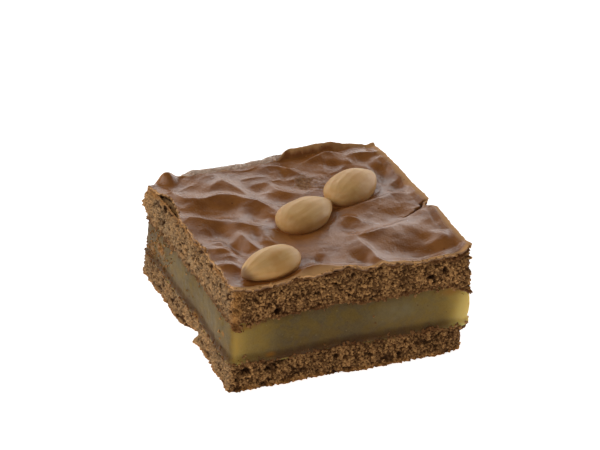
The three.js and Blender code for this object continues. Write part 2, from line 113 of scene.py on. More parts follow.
# Crust folds: start, middle pull and end of each crest, its height, and the spread of its flanks
# The flank on the right hand, from start to end, is the wider one
FOLD_TIP = 0.45
FOLD_STEPS = 14
FLANK_WIDTH = {"left": 1.2, "right": 2.5}
FOLDS = [
    ((-33.6, 29), (-32, 16.8), (-24, 18.4), 2.0, 1.9),
    ((-28, 17.9), (-20, 19.4), (-14.5, 15.9), 2.0, 1.9),
    ((-16.5, 16.9), (-12, 12.2), (-7.8, 5.4), 1.7, 1.6),
    ((-16.8, 30.2), (-15.2, 25), (-12, 15), 1.4, 1.4),
    ((-21.5, 25), (-18.5, 27.2), (-15.2, 27.8), 0.9, 1.4),
    ((-37, 11), (-32, 4.2), (-24.5, 5.2), 1.9, 1.9),
    ((-24.5, 5.2), (-22.5, -2.5), (-14, -4.8), 1.8, 1.7),
    ((-23.8, -2.8), (-24, -9), (-21.6, -15.5), 1.4, 1.4),
    ((-32, -5.5), (-31, -8), (-30.1, -10.5), 0.5, 1.2),
    ((-36.5, -10.8), (-30, -12.8), (-25.4, -19.3), 1.5, 1.5),
    ((-36.8, -20), (-33.5, -21.2), (-30.7, -23.7), 1.4, 1.4),
    ((-16.2, -3.5), (-17, -9), (-14.5, -13), 0.9, 1.3),
    ((10.5, -0.5), (20, -1.8), (28.7, 3.2), 1.5, 1.5),
    ((28.7, 3.2), (31, 3.4), (34.5, 2), 0.9, 1.4),
    ((9.3, -5.2), (11.5, -6.8), (13.6, -10), 1.3, 1.4),
    ((7.4, -17.4), (14.5, -20), (22, -15.3), 1.6, 1.6),
    ((22, -15.3), (26, -13.5), (30, -10.5), 0.8, 1.6),
    ((7.4, -18), (8, -27), (9.3, -36), 1.5, 1.5),
    ((-17.6, -35.5), (-12, -28.6), (-3.9, -34.6), 2.0, 1.5),
    ((12, 30), (19, 33), (25.2, 30.6), 1.6, 1.4),
    ((25.2, 29), (29.8, 31), (37.5, 28.6), 1.5, 1.4),
    ((25.5, 29), (25.4, 27), (25.2, 25), 0.8, 1.3),
    ((32.4, 26.5), (35, 26), (38, 24), 0.9, 1.4),
    ((0, 31), (5, 30), (8.2, 22.5), 1.4, 1.4),
    ((-9.5, 22.5), (-5.5, 24.2), (-3.2, 22.5), 0.4, 1.3),
    ((-3.2, 22.5), (-3, 14.5), (3.5, 13.5), 1.2, 1.4),
    ((34.5, -8.5), (34.6, -12), (34, -18), 0.7, 1.2),
]
# Dishes between the folds, or swells where the depth is negative: middle, half spans and depth
DISHES = [
    ((23.5, -35), (14.5, 16.5), 3.0),
    ((33, -26.5), (6, 5.5), -1.0),
    ((-27, -37), (6, 4), 1.0),
    ((-5, -37), (5, 3), 0.8),
    ((-24, 11), (12.5, 7.5), 1.5),
    ((-29.5, -2), (7.5, 7), 1.3),
    ((-26.8, -13), (4.4, 12), 1.8),
    ((-31, -15), (5, 2.6), 0.5),
    ((-6.3, -26.5), (3, 4.8), 0.9),
    ((4.6, -33.5), (5, 10), 1.2),
    ((20.5, 27), (5, 3.4), 0.7),
    ((30.5, 27), (5, 6), 1.0),
    ((9.6, -11), (4.2, 5.5), 0.7),
    ((3.5, 26), (3, 5), 0.6),
    ((-6.5, 19.5), (5, 5), 0.5),
    ((33.5, 8), (4.5, 5), 0.9),
    ((-3.8, 12.5), (4.6, 5), 0.6),
    ((-19, -8), (2.2, 6), 0.5),
    ((-13.5, 6), (5, 6), 0.9),
    ((26, -10), (10, 8), 1.0),
    ((32.5, 17), (4, 8), 1.3),
    ((31, 36), (8, 12), -0.5),
]
RIPPLE = {"size": 9.0, "height": 0.3}
# How far the folds and dishes stray from their even forms
STRAY = {"size": 4.0, "by": 1.3}
CRUST_SINK = 0.7

# Almonds: node, middle, turn in degrees, half length and half width
ALMOND_HALF_THICKNESS = 4.3
ALMOND_RISE = 0.9
ALMONDS = [
    ("almond_front", (-22.9, -27.2), 201, 10.9, 6.1),
    ("almond_middle", (-0.7, -1.7), 29, 11.2, 6.8),
    ("almond_back", (19.6, 10.2), 35, 11.5, 6.9),
]
# How blunt its two ends are, and how far its girth lies towards the blunt one
ALMOND_TIP = {"blunt": 0.48, "sharp": 0.72, "shift": 0.16}
# How brown each almond is at its tip
ALMOND_TIP_SHARE = {"almond_front": 0.9, "almond_middle": 0.25, "almond_back": 0.4}
ALMOND_MOAT = {"depth": 0.6, "width": 1.1}

# Cut sides
EDGE_SWAY = 0.5
EDGE_OUT = {"front": 0.2, "right": 1.1, "back": 0.3, "left": -0.1}
CRUST_OVERHANG = 0.8
# How far the curled lip leans out over the back, and how fast that dies down towards the front
LIP_OVERHANG = {"out": 1.0, "reach": 3.0}
PASTE_BULGE = 0.6
# The right side bulges at the paste, and near the front corner its foot is drawn in
RIGHT_BULGE = {"out": 1.3, "at": 15.0, "half_height": 17.0}
RIGHT_FOOT = {"in": 2.2, "full_to": 6.0, "top": 9.0, "at": -36.0, "half_length": 18.0}
BASE_OUT = {"front": 1.9, "right": 0.4, "back": 0.4, "left": 0.6}
# A notch in the crust's right edge, and the crumb that has sunk away below it
NOTCH = {"y": -7.0, "half_width": 3.0, "depth": 2.8, "reach": 1.5}
SUNK_CRUMB = {"y": -4.0, "half_length": 10.0, "from_x": 28.0, "full_x": 32.0, "depth": 2.0}
# Where the crust is broken back along the left edge
LEFT_BITE = {"at": 21.0, "half_length": 13.0, "depth": 2.3, "reach": 3.0}
RIGHT_EDGE_OUT = {"by": 0.2, "reach": 2.0}
# Crumb lost from the bottom layer: side, place along it, half width, depth, and the heights where it fades
LOST_CRUMB = [
    ("left", -4, 8, 3.0, 0, 6),
    ("left", -37, 5, -1.2, 0, 5),
    ("front", 38, 6, 1.2, 3, 8),
    ("back", 12, 7, 1.6, 0, 5),
]
SIDES = ("front", "right", "back", "left")

# Mesh spacings and details that only the dressed piece has
CRUST_SPACING = 0.32
FINE_SPACING = 0.15
WALL_SPACING = 0.22
PASTE_SPACING = 0.45
CORNER_RADIUS = 1.0
PASTE_CORNER_RADIUS = 2.0
LAYER_LAP = 0.7
# Rings that close a layer, as shares of the way out from the middle
CLOSING_SHARES = (0.992, 0.984, 0.976, 0.968, 0.96, 0.92, 0.87, 0.8, 0.7, 0.55, 0.35)
CRUST_THICKNESS = 1.3
CRUST_INSET = 0.5
# How far below the crust's surface the crumb ends, at its edge and in its middle
CRUMB_EDGE_DEPTH = 0.6
CRUMB_MIDDLE_DEPTH = 2.0
# Where the crumb tucks in under the lip: the distances back from the middle, and the shares of the lip
TUCK = {"from": 30.0, "to": 33.0, "low": 0.1, "high": 0.6}
GRAINS_PER_SQUARE_MM = {"top_crumb": 1.15, "bottom_crumb": 1.15, "paste": 0.95, "crust": 1.8}
# How far in from its edges the crust is golden. This is partly its own lighter edge colour and partly a
# painted glow of light through the thin edge, widest on the right; along the front it is also a painted
# highlight line
EDGE_GOLD_AND_GLOW = {"all_round": 0.5, "right": 3.0, "front_left": 1.3, "flap": 3.0, "front": 0.4, "back_right": 2.0}
# Crust edge: how far out and down each ring of its profile lies, and how jagged and torn it is there
EDGE_PROFILE = (
    (0.1, 0.04, 0.5, 0.1),
    (0.18, 0.13, 1.0, 0.4),
    (0.18, 0.27, 1.2, 0.8),
    (0.08, 0.4, 1.1, 1.0),
    (-0.2, 0.52, 0.8, 1.0),
    (-1.2, 0.8, 0.0, 0.5),
)
CRACK = (
    (38.2, -5.8),
    (37.1, -5.0),
    (35.5, -5.4),
    (34.6, -6.8),
    (33.4, -7.8),
    (30.1, -8.8),
    (27.9, -9.9),
    (25.9, -8.5),
)
CRACK_HALF_WIDTH = 0.18
CRACK_WARP = {"by": 0.4, "size": 1.3}
# Where the crack gapes: places and half spans
CRACK_GAPES = [
    ((33.4, -7.7), (1.5, 0.9)),
    ((35.2, -5.8), (0.6, 0.9)),
]
CRACK_DEPTH = 1.3
DRY_PATCH = {"at": (8.5, 18.5), "span": (9.0, 7.5)}
# Where the glaze is grainy: place and half spans
GRAINY = {"at": (11, 23), "span": (16, 14)}
# Where the top crumb hangs down over the front of the paste
HANGING = [
    {"at": -33.5, "half_width": 9.5, "depth": 2.0},
    {"at": 37.0, "half_width": 6.0, "depth": 0.8},
]
# Deep holes in the crumb, or knobs where the depth is negative
# Each has its side, place along it, height, half spans and depth
HOLES = [
    ("left", 34.5, 26.5, 5.5, 6.5, -1.6),
    ("right", -34, 30.5, 2.5, 1.4, -0.9),
    ("right", -3.4, 31.5, 7.0, 5.5, 5.0),
    ("left", -9.4, 1.5, 2.2, 2.2, -2.2),
    ("left", -6.2, 1.5, 2.0, 3.0, 1.6),
    ("front", -33, 6.0, 2.2, 1.3, 2.2),
    ("front", -26, 5.5, 1.8, 1.1, 1.8),
    ("front", 26, 26.5, 1.6, 1.2, 1.6),
    ("front", -23, 24.0, 2.0, 1.2, 1.8),
    ("front", 30, 28.5, 1.0, 1.5, 1.3),
    ("front", -4, 5.5, 1.4, 0.9, 1.3),
    ("front", 16, 3.0, 1.2, 0.9, 1.3),
    ("left", 22.0, 29.4, 2.4, 1.6, 0.6),
    ("left", 25.8, 28.6, 1.8, 1.0, 0.6),
    ("left", 17.8, 29.9, 1.6, 0.9, 0.6),
    ("left", -8, 27.0, 1.5, 0.9, 1.3),
    ("left", 12, 3.5, 2.0, 1.2, 1.6),
    ("right", 8, 27.0, 2.2, 1.2, 1.7),
    ("right", -18, 4.5, 1.8, 1.1, 1.5),
    ("back", -15, 26.0, 2.0, 1.2, 1.7),
    ("back", 10, 4.0, 1.8, 1.0, 1.5),
]
# Spots of soaked crumb and syrup on the paste: side, place along it, height, half spans and strength
STAINS = [
    ("left", 23, 15.0, 5.0, 2.6, 1.0),
    ("left", -29, 15.5, 1.5, 1.2, 0.9),
    ("left", -7, 8.6, 3.0, 1.6, 0.8),
    ("left", 30, 11.0, 4.0, 3.0, 0.5),
    ("front", -36, 22.0, 2.0, 1.6, 1.0),
    ("front", -33, 20.5, 6.0, 1.6, 0.6),
    ("front", 33, 20.5, 6.0, 2.2, 0.6),
    ("front", -25, 10.0, 2.4, 0.9, 0.8),
    ("right", 14, 13.0, 4.0, 2.2, 0.7),
    ("back", -20, 15.0, 3.0, 2.0, 0.7),
]


# Curves and noise
def smoothstep(value, low, high):
    share = np.clip((value - low) / (high - low), 0, 1)
    return share * share * (3 - 2 * share)


def hump(distance, span):
    """1 at the middle, 0 from span outwards."""
    reach = np.minimum(1, np.abs(distance) / span)
    return (1 - reach * reach) ** 2


def oval(middle, span, x, y):
    """1 at the middle of an oval, 0 outside it."""
    return hump(np.hypot((x - middle[0]) / span[0], (y - middle[1]) / span[1]), 1)


def lattice_value(i, j, k):
    wave = np.sin(i * 127.1 + j * 311.7 + k * 74.7) * 43758.5453
    return wave - np.floor(wave)


def noise(x, y, z):
    """Smooth noise from -1 to 1 in space."""
    x, y, z = np.broadcast_arrays(*(np.asarray(axis, float) for axis in (x, y, z)))
    cell = [np.floor(axis) for axis in (x, y, z)]
    ease = [smoothstep(axis - low, 0, 1) for axis, low in zip((x, y, z), cell)]
    total = np.zeros(x.shape)
    for a in (0, 1):
        for b in (0, 1):
            for c in (0, 1):
                weight = (ease[0] if a else 1 - ease[0]) * (ease[1] if b else 1 - ease[1])
                weight = weight * (ease[2] if c else 1 - ease[2])
                total += weight * lattice_value(cell[0] + a, cell[1] + b, cell[2] + c)
    return total * 2 - 1


def rough(x, y, *layers):
    """Layers of noise over a surface, each with its height, its size and its slice of space."""
    return sum(height * noise(x / size, y / size, cut) for height, size, cut in layers)


# The crust's surface
def slab_height(x, y):
    across = x / WIDTH + 0.5
    back = y / DEPTH + 0.5
    front = CORNER_HEIGHT["front_left"] * (1 - across) + CORNER_HEIGHT["front_right"] * across
    rear = CORNER_HEIGHT["back_left"] * (1 - across) + CORNER_HEIGHT["back_right"] * across
    return front * (1 - back) + rear * back


def layer_height(share, x, y):
    return slab_height(x, y) * share + 0.3 * np.sin(x / 8 + 4 * share) + 0.25 * np.cos(y / 9 - 3 * share)


def near_path(points, x, y):
    """Distance from places to a chain of points, how far along it, and how much on its right, from 0 to 1."""
    distance = np.full(np.shape(x), np.inf)
    along = np.zeros(np.shape(x))
    right = np.zeros(np.shape(x))
    for step in range(len(points) - 1):
        start = points[step]
        stretch = points[step + 1] - start
        length = np.hypot(*stretch)
        share = ((x - start[0]) * stretch[0] + (y - start[1]) * stretch[1]) / length**2
        share = np.clip(share, 0, 1)
        away = np.hypot(x - start[0] - share * stretch[0], y - start[1] - share * stretch[1])
        left_by = (stretch[0] * (y - start[1]) - stretch[1] * (x - start[0])) / length
        nearer = away < distance
        distance = np.where(nearer, away, distance)
        along = np.where(nearer, (step + share) / (len(points) - 1), along)
        right = np.where(nearer, 0.5 - 0.5 * left_by / np.maximum(away, 1e-6), right)
    return distance, along, np.clip(right, 0, 1)


def bowed(start, pull, end):
    t = np.linspace(0, 1, FOLD_STEPS + 1)[:, None]
    return (1 - t) ** 2 * np.array(start) + 2 * t * (1 - t) * np.array(pull) + t * t * np.array(end)


def folds_height(x, y):
    total = np.zeros(np.shape(x))
    for start, pull, end, height, spread in FOLDS:
        distance, along, right = near_path(bowed(start, pull, end), x, y)
        rounded = np.hypot(distance, FOLD_TIP) - FOLD_TIP
        flank = FLANK_WIDTH["left"] * (1 - right) + FLANK_WIDTH["right"] * right
        fade = 0.45 + 0.55 * np.sin(np.pi * along)
        total += (height * fade * np.exp(-rounded / (spread * flank))) ** 2
    return np.sqrt(total)


def lip_share(x):
    return smoothstep(x, LIP["from"], LIP["full_from"]) - smoothstep(x, LIP["full_to"], LIP["to"])


def bare_share(x, longer=0.0):
    """1 along the part of the back edge that has a bare strip, which can be made longer at both ends."""
    first = BARE_STRIP["from"] - longer
    last = BARE_STRIP["to"] + longer
    starts = smoothstep(x, first, first + BARE_STRIP["starts_over"])
    return starts - smoothstep(x, last, last + BARE_STRIP["ends_over"])


def ridge_height(x):
    """Height of the back ridge above the slab."""
    drop_from = CORNER_DROP["from"]
    drop_to = drop_from + CORNER_DROP["over"]
    height = BACK_RIDGE["height"] + LIP["height"] * lip_share(x)
    height = height - CORNER_DROP["left"] * smoothstep(-x, drop_from, drop_to)
    height = height - CORNER_DROP["right"] * smoothstep(x, drop_from, drop_to)
    for at, half_width, bump_height in RIDGE_BUMPS:
        height = height + bump_height * hump(x - at, half_width)
    return height


def gap_to_back(x, y):
    return DEPTH / 2 + sway("back", x) - y


def lip_lean(x, from_back):
    return LIP_OVERHANG["out"] * lip_share(x) * np.exp(-np.maximum(0, from_back) / LIP_OVERHANG["reach"])


def ridge_profile(x, from_back):
    """Share of the ridge's height at a distance from the back: a slope, or a step with an upright strip."""
    foot = BACK_RIDGE["foot"] + PEAK["foot_out"] * hump(x - PEAK["at"], PEAK["half_width"])
    slope = 1 - smoothstep(from_back, BACK_RIDGE["top"], foot)
    strip = BARE_STRIP["share"] * (1 - smoothstep(from_back, BARE_STRIP["top"], BARE_STRIP["width"]))
    step = (1 - BARE_STRIP["share"]) * (1 - smoothstep(from_back, STEP["top"], STEP["foot"]))
    stepped = bare_share(x)
    return slope * (1 - stepped) + (strip + step) * stepped


def rim_height(x, y):
    from_back = gap_to_back(x, y)
    from_front = DEPTH / 2 + y
    from_right = WIDTH / 2 - x
    dip = sum(height * hump(x - at, half_width) for at, half_width, height in FRONT_BUMPS)
    rise = smoothstep(x, BACK_RISE["from"], BACK_RISE["full_from"])
    rise = BACK_RISE["height"] * (rise - smoothstep(x, BACK_RISE["full_to"], BACK_RISE["to"]))
    return (
        (ridge_height(x) - rise) * ridge_profile(x, from_back)
        + rise * hump(np.maximum(0, from_back), BACK_RISE["reach"])
        + RIGHT_RIM["lift"] * (1 - smoothstep(from_right, 0, RIGHT_RIM["width"]))
        + dip * (1 - smoothstep(from_front, 0, FRONT_RIM_WIDTH))
    )


def in_almond(almond, x, y):
    _, middle, turn, _, _ = almond
    turn = math.radians(turn)
    dx = x - middle[0]
    dy = y - middle[1]
    return dx * math.cos(turn) + dy * math.sin(turn), dy * math.cos(turn) - dx * math.sin(turn)


def moat_depth(almond, x, y):
    along, across = in_almond(almond, x, y)
    _, _, _, half_length, half_width = almond
    reach = np.hypot(along / half_length, across / half_width) - 1
    return ALMOND_MOAT["depth"] * np.exp(-np.maximum(0, reach * half_width) / ALMOND_MOAT["width"])


def wrinkles(x, y):
    """Small folds and soft lumps of the glaze, fewer towards the front right."""
    warp = 1.6 * noise(x / 7.0, y / 7.0, 21.5)
    folded = 1 - np.abs(noise((x + warp) / 6.5, (y - warp) / 5.0, 22.5))
    lumps = noise((x - warp) / 2.6, (y + warp) / 2.2, 23.5)
    dimples = noise((x + 0.4 * warp) / 1.1, (y - 0.4 * warp) / 1.0, 24.5)
    share = 0.15 + 0.85 * smoothstep(y - 0.6 * x, -18, 12)
    grainy = oval(GRAINY["at"], GRAINY["span"], x, y)
    return share * 0.3 * (folded**3 - 0.4) + 0.08 * lumps + (0.025 + 0.07 * grainy) * dimples


def crust_height(x, y):
    strayed_x = x + STRAY["by"] * noise(x / STRAY["size"], y / STRAY["size"], 31.5)
    strayed_y = y + STRAY["by"] * noise(x / STRAY["size"], y / STRAY["size"], 32.5)
    height = slab_height(x, y) + rim_height(x, y) - CRUST_SINK
    height = height + folds_height((x + strayed_x) / 2, (y + strayed_y) / 2)
    height = height + RIPPLE["height"] * noise(x / RIPPLE["size"], y / RIPPLE["size"], 3.5)
    for middle, span, depth in DISHES:
        height = height - depth * oval(middle, span, strayed_x, strayed_y)
    for almond in ALMONDS:
        height = height - moat_depth(almond, x, y)
    return height


def crust_foot(x, y, below):
    """A surface some way below the crust that leans out under its lip."""
    return crust_height(x, y - lip_lean(x, gap_to_back(x, y))) - below


# The cut sides
def sway(side, along):
    phase = SIDES.index(side) * 1.9
    wander = 0.6 * np.sin(along / 11 + phase) + 0.4 * np.sin(along / 4.6 + 2.3 * phase)
    return EDGE_OUT[side] + EDGE_SWAY * wander


def swayed(x, y, z):
    """Where a place of the square outline lies once its cut sides wander."""
    across = x / WIDTH + 0.5
    back = y / DEPTH + 0.5
    slant = RIGHT_BULGE["out"] * hump(z - RIGHT_BULGE["at"], RIGHT_BULGE["half_height"])
    near_corner = hump(y - RIGHT_FOOT["at"], RIGHT_FOOT["half_length"])
    low_down = 1 - smoothstep(z, RIGHT_FOOT["full_to"], RIGHT_FOOT["top"])
    slant = slant - RIGHT_FOOT["in"] * near_corner * low_down
    moved_x = x - (1 - across) * sway("left", y) + across * (sway("right", y) + slant)
    moved_y = y - (1 - back) * sway("front", x) + back * sway("back", x)
    return moved_x, moved_y


def outline(spacing, inset, radius):
    """Points round the square, counter-clockwise from the front left, with their outward directions."""
    half = np.array([WIDTH / 2 - inset, DEPTH / 2 - inset])
    points = []
    outward = []
    corners = ((1, -1, -90), (1, 1, 0), (-1, 1, 90), (-1, -1, 180))
    for index, (sx, sy, start) in enumerate(corners):
        centre = half * (sx, sy) - radius * np.array((sx, sy))
        for angle in np.radians(np.linspace(start, start + 90, 6)):
            ray = np.array((math.cos(angle), math.sin(angle)))
            points.append(centre + radius * ray)
            outward.append(ray)
        following = corners[(index + 1) % 4]
        target = half * following[:2] - radius * np.array(following[:2])
        ray = outward[-1]
        end = target + radius * ray
        count = max(2, round(np.linalg.norm(end - points[-1]) / spacing))
        start_point = points[-1]
        for step in range(1, count):
            points.append(start_point + (end - start_point) * step / count)
            outward.append(ray)
    return np.array(points), np.array(outward)


def facing(side, outward):
    """How much each outline point belongs to a side, from 0 to 1."""
    towards = {"front": (0, -1), "right": (1, 0), "back": (0, 1), "left": (-1, 0)}[side]
    return np.clip(outward @ np.array(towards), 0, 1) ** 2


def along_side(side, points):
    return points[:, 0] if side in ("front", "back") else points[:, 1]


def side_spots(spots, points, outward, z):
    """Sum of oval spots on the sides, each 1 times its strength at its middle."""
    total = np.zeros(len(points))
    for side, at, height, half_length, half_height, strength in spots:
        reach = np.hypot((along_side(side, points) - at) / half_length, (z - height) / half_height)
        total += strength * hump(reach, 1) * facing(side, outward)
    return total


def lost_crumb(points, outward, z):
    total = np.zeros(len(points))
    for side, at, half_width, depth, full_to, top in LOST_CRUMB:
        bite = depth * hump(along_side(side, points) - at, half_width) * (1 - smoothstep(z, full_to, top))
        total += bite * facing(side, outward)
    return total


# Meshes
def make_piece(name, points, faces):
    """A mesh object from points in millimetres, put into the solids' frame."""
    mesh = bpy.data.meshes.new(name)
    mesh.from_pydata(((points + FRAME_SHIFT) * MM).tolist(), [], faces)
    mesh.polygons.foreach_set("use_smooth", [True] * len(mesh.polygons))
    mesh.update()
    piece = bpy.data.objects.new(name, mesh)
    bpy.context.scene.collection.objects.link(piece)
    return piece


def give(piece, name, values):
    """Stores a number, or a direction, for each point of a piece."""
    values = np.asarray(values, np.float32)
    kind, field = ("FLOAT_VECTOR", "vector") if values.ndim == 2 else ("FLOAT", "value")
    layer = piece.data.attributes.new(name, kind, "POINT")
    layer.data.foreach_set(field, values.ravel())


def band_faces(low, high):
    """Faces between two rings of point numbers of the same length."""
    after = np.roll(np.arange(len(low)), -1)
    return np.stack([low, low[after], high[after], high], 1).tolist()


def fan_faces(ring, middle, upward):
    after = np.roll(ring, -1)
    pairs = (ring, after) if upward else (after, ring)
    return np.stack([pairs[0], pairs[1], np.full(len(ring), middle)], 1).tolist()


def inner_rings(ring, height):
    """Rings that draw a ring in towards the middle at height(x, y), so that it can be closed."""
    rings = []
    for share in CLOSING_SHARES:
        x = ring[:, 0] * share
        y = ring[:, 1] * share
        rings.append(np.column_stack([x, y, height(x, y)]))
    return rings


def almond_points(almond, around, along_count):
    """Rings of points along an almond, from its blunt end to its tip, with its two poles."""
    _, _, _, half_length, half_width = almond
    stations = np.linspace(0, np.pi, along_count + 1)[1:-1]
    angles = np.linspace(0, 2 * np.pi, around, endpoint=False)
    along = -np.cos(stations)[:, None]
    power = ALMOND_TIP["blunt"] + (ALMOND_TIP["sharp"] - ALMOND_TIP["blunt"]) * smoothstep(along, -0.4, 1)
    girth = (1 - along * along) ** power * (1 - ALMOND_TIP["shift"] * along)
    local = np.stack(
        [
            np.broadcast_to(along * half_length, (len(stations), around)),
            girth * half_width * np.cos(angles),
            girth * ALMOND_HALF_THICKNESS * np.sin(angles),
        ],
        -1,
    ).reshape(-1, 3)
    poles = np.array([[-half_length, 0, 0], [half_length, 0, 0]])
    return np.vstack([local, poles])


def lay_almond(almond, local):
    _, middle, turn, _, _ = almond
    turn = math.radians(turn)
    x = local[:, 0] * math.cos(turn) - local[:, 1] * math.sin(turn) + middle[0]
    y = local[:, 0] * math.sin(turn) + local[:, 1] * math.cos(turn) + middle[1]
    return np.stack([x, y, local[:, 2] + slab_height(*middle) + ALMOND_RISE], 1)


def frame_shift():
    """How far the solids' frame lies from the middle of the square outline."""
    almond = ALMONDS[1]
    laid = lay_almond(almond, almond_points(almond, 80, 60))
    low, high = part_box(almond[0])
    return np.array((low + high) / 2) / MM - (laid.min(0) + laid.max(0)) / 2


FRAME_SHIFT = frame_shift()
FRAME_SHIFT[2] = 0


# Node trees
def add(tree, kind, settings=None, feeds=None):
    """Adds a node, with its settings, and with values or other nodes' sockets fed to its inputs."""
    made = tree.nodes.new(kind)
    for name, value in (settings or {}).items():
        setattr(made, name, value)
    for name, value in (feeds or {}).items():
        if isinstance(value, bpy.types.NodeSocket):
            tree.links.new(value, made.inputs[name])
        else:
            made.inputs[name].default_value = value
    return made


def sums(tree, operation, *values):
    feeds = dict(enumerate(values))
    return add(tree, "ShaderNodeMath", {"operation": operation}, feeds).outputs[0]


def vectors(tree, operation, feeds):
    return add(tree, "ShaderNodeVectorMath", {"operation": operation}, feeds).outputs[0]


def ranged(tree, value, low, high, to_low=0.0, to_high=1.0):
    feeds = {"Value": value, "From Min": low, "From Max": high, "To Min": to_low, "To Max": to_high}
    return add(tree, "ShaderNodeMapRange", {"interpolation_type": "SMOOTHSTEP"}, feeds).outputs[0]


def mixed(tree, share, first, second):
    return add(tree, "ShaderNodeMix", {"data_type": "RGBA"}, {0: share, 6: first, 7: second}).outputs[2]


def stored(tree, name):
    return add(tree, "ShaderNodeAttribute", {"attribute_name": name}).outputs["Fac"]


def millimetres(tree):
    """Object coordinates, in millimetres."""
    place = add(tree, "ShaderNodeTexCoord").outputs["Object"]
    return vectors(tree, "SCALE", {0: place, "Scale": 1 / MM})


def shade_group(name, inputs, outputs):
    tree = bpy.data.node_groups.new(name, "ShaderNodeTree")
    for label, kind, value in inputs:
        socket = tree.interface.new_socket(label, in_out="INPUT", socket_type=kind)
        if value is not None:
            socket.default_value = value
    for label, kind in outputs:
        tree.interface.new_socket(label, in_out="OUTPUT", socket_type=kind)
    return tree, tree.nodes.new("NodeGroupInput").outputs, tree.nodes.new("NodeGroupOutput").inputs


def use_group(tree, group, feeds):
    return add(tree, "ShaderNodeGroup", {"node_tree": group}, feeds).outputs


NUMBER = "NodeSocketFloat"
VECTOR = "NodeSocketVector"


def mottle_group():
    """Soft blotches, such as uneven browning."""
    tree, given, out = shade_group(
        "mottle",
        [("Place", VECTOR, None), ("Size", NUMBER, 5.0), ("From", NUMBER, 0.4), ("To", NUMBER, 0.6)],
        [("Mask", NUMBER)],
    )
    scale = sums(tree, "DIVIDE", 1.0, given["Size"])
    cloud = add(
        tree,
        "ShaderNodeTexNoise",
        None,
        {"Vector": given["Place"], "Scale": scale, "Detail": 3.0, "Roughness": 0.55},
    ).outputs[0]
    tree.links.new(ranged(tree, cloud, given["From"], given["To"]), out["Mask"])
    return tree


def speck_group():
    """Small round specks, in some cells only."""
    tree, given, out = shade_group(
        "specks",
        [("Place", VECTOR, None), ("Spacing", NUMBER, 2.0), ("Radius", NUMBER, 0.2), ("Share", NUMBER, 0.3)],
        [("Mask", NUMBER)],
    )
    scale = sums(tree, "DIVIDE", 1.0, given["Spacing"])
    cells = add(tree, "ShaderNodeTexVoronoi", None, {"Vector": given["Place"], "Scale": scale}).outputs
    reach = sums(tree, "MULTIPLY", cells["Distance"], given["Spacing"])
    inner = sums(tree, "MULTIPLY", given["Radius"], 0.5)
    near = ranged(tree, reach, given["Radius"], inner)
    draw = add(tree, "ShaderNodeSeparateColor", None, {0: cells["Color"]}).outputs[0]
    chosen = sums(tree, "LESS_THAN", draw, given["Share"])
    tree.links.new(sums(tree, "MULTIPLY", near, chosen), out["Mask"])
    return tree


def grain_group():
    """Fine grains: a tone that changes from grain to grain, and their height."""
    tree, given, out = shade_group(
        "grain",
        [("Place", VECTOR, None), ("Size", NUMBER, 0.8)],
        [("Tone", NUMBER), ("Height", NUMBER)],
    )
    scale = sums(tree, "DIVIDE", 1.0, given["Size"])
    cells = add(tree, "ShaderNodeTexVoronoi", None, {"Vector": given["Place"], "Scale": scale}).outputs
    tone = add(tree, "ShaderNodeSeparateColor", None, {0: cells["Color"]}).outputs[1]
    tree.links.new(tone, out["Tone"])
    tree.links.new(sums(tree, "SUBTRACT", 1.0, cells["Distance"]), out["Height"])
    return tree


MOTTLE = mottle_group()
SPECKS = speck_group()
GRAIN = grain_group()


def new_material(name):
    material = bpy.data.materials.new(name)
    material.use_nodes = True
    tree = material.node_tree
    return material, tree, tree.nodes["Principled BSDF"]


def bump(tree, shader, height, strength, distance):
    feeds = {"Height": height, "Strength": strength, "Distance": distance * MM}
    tree.links.new(add(tree, "ShaderNodeBump", None, feeds).outputs[0], shader.inputs["Normal"])


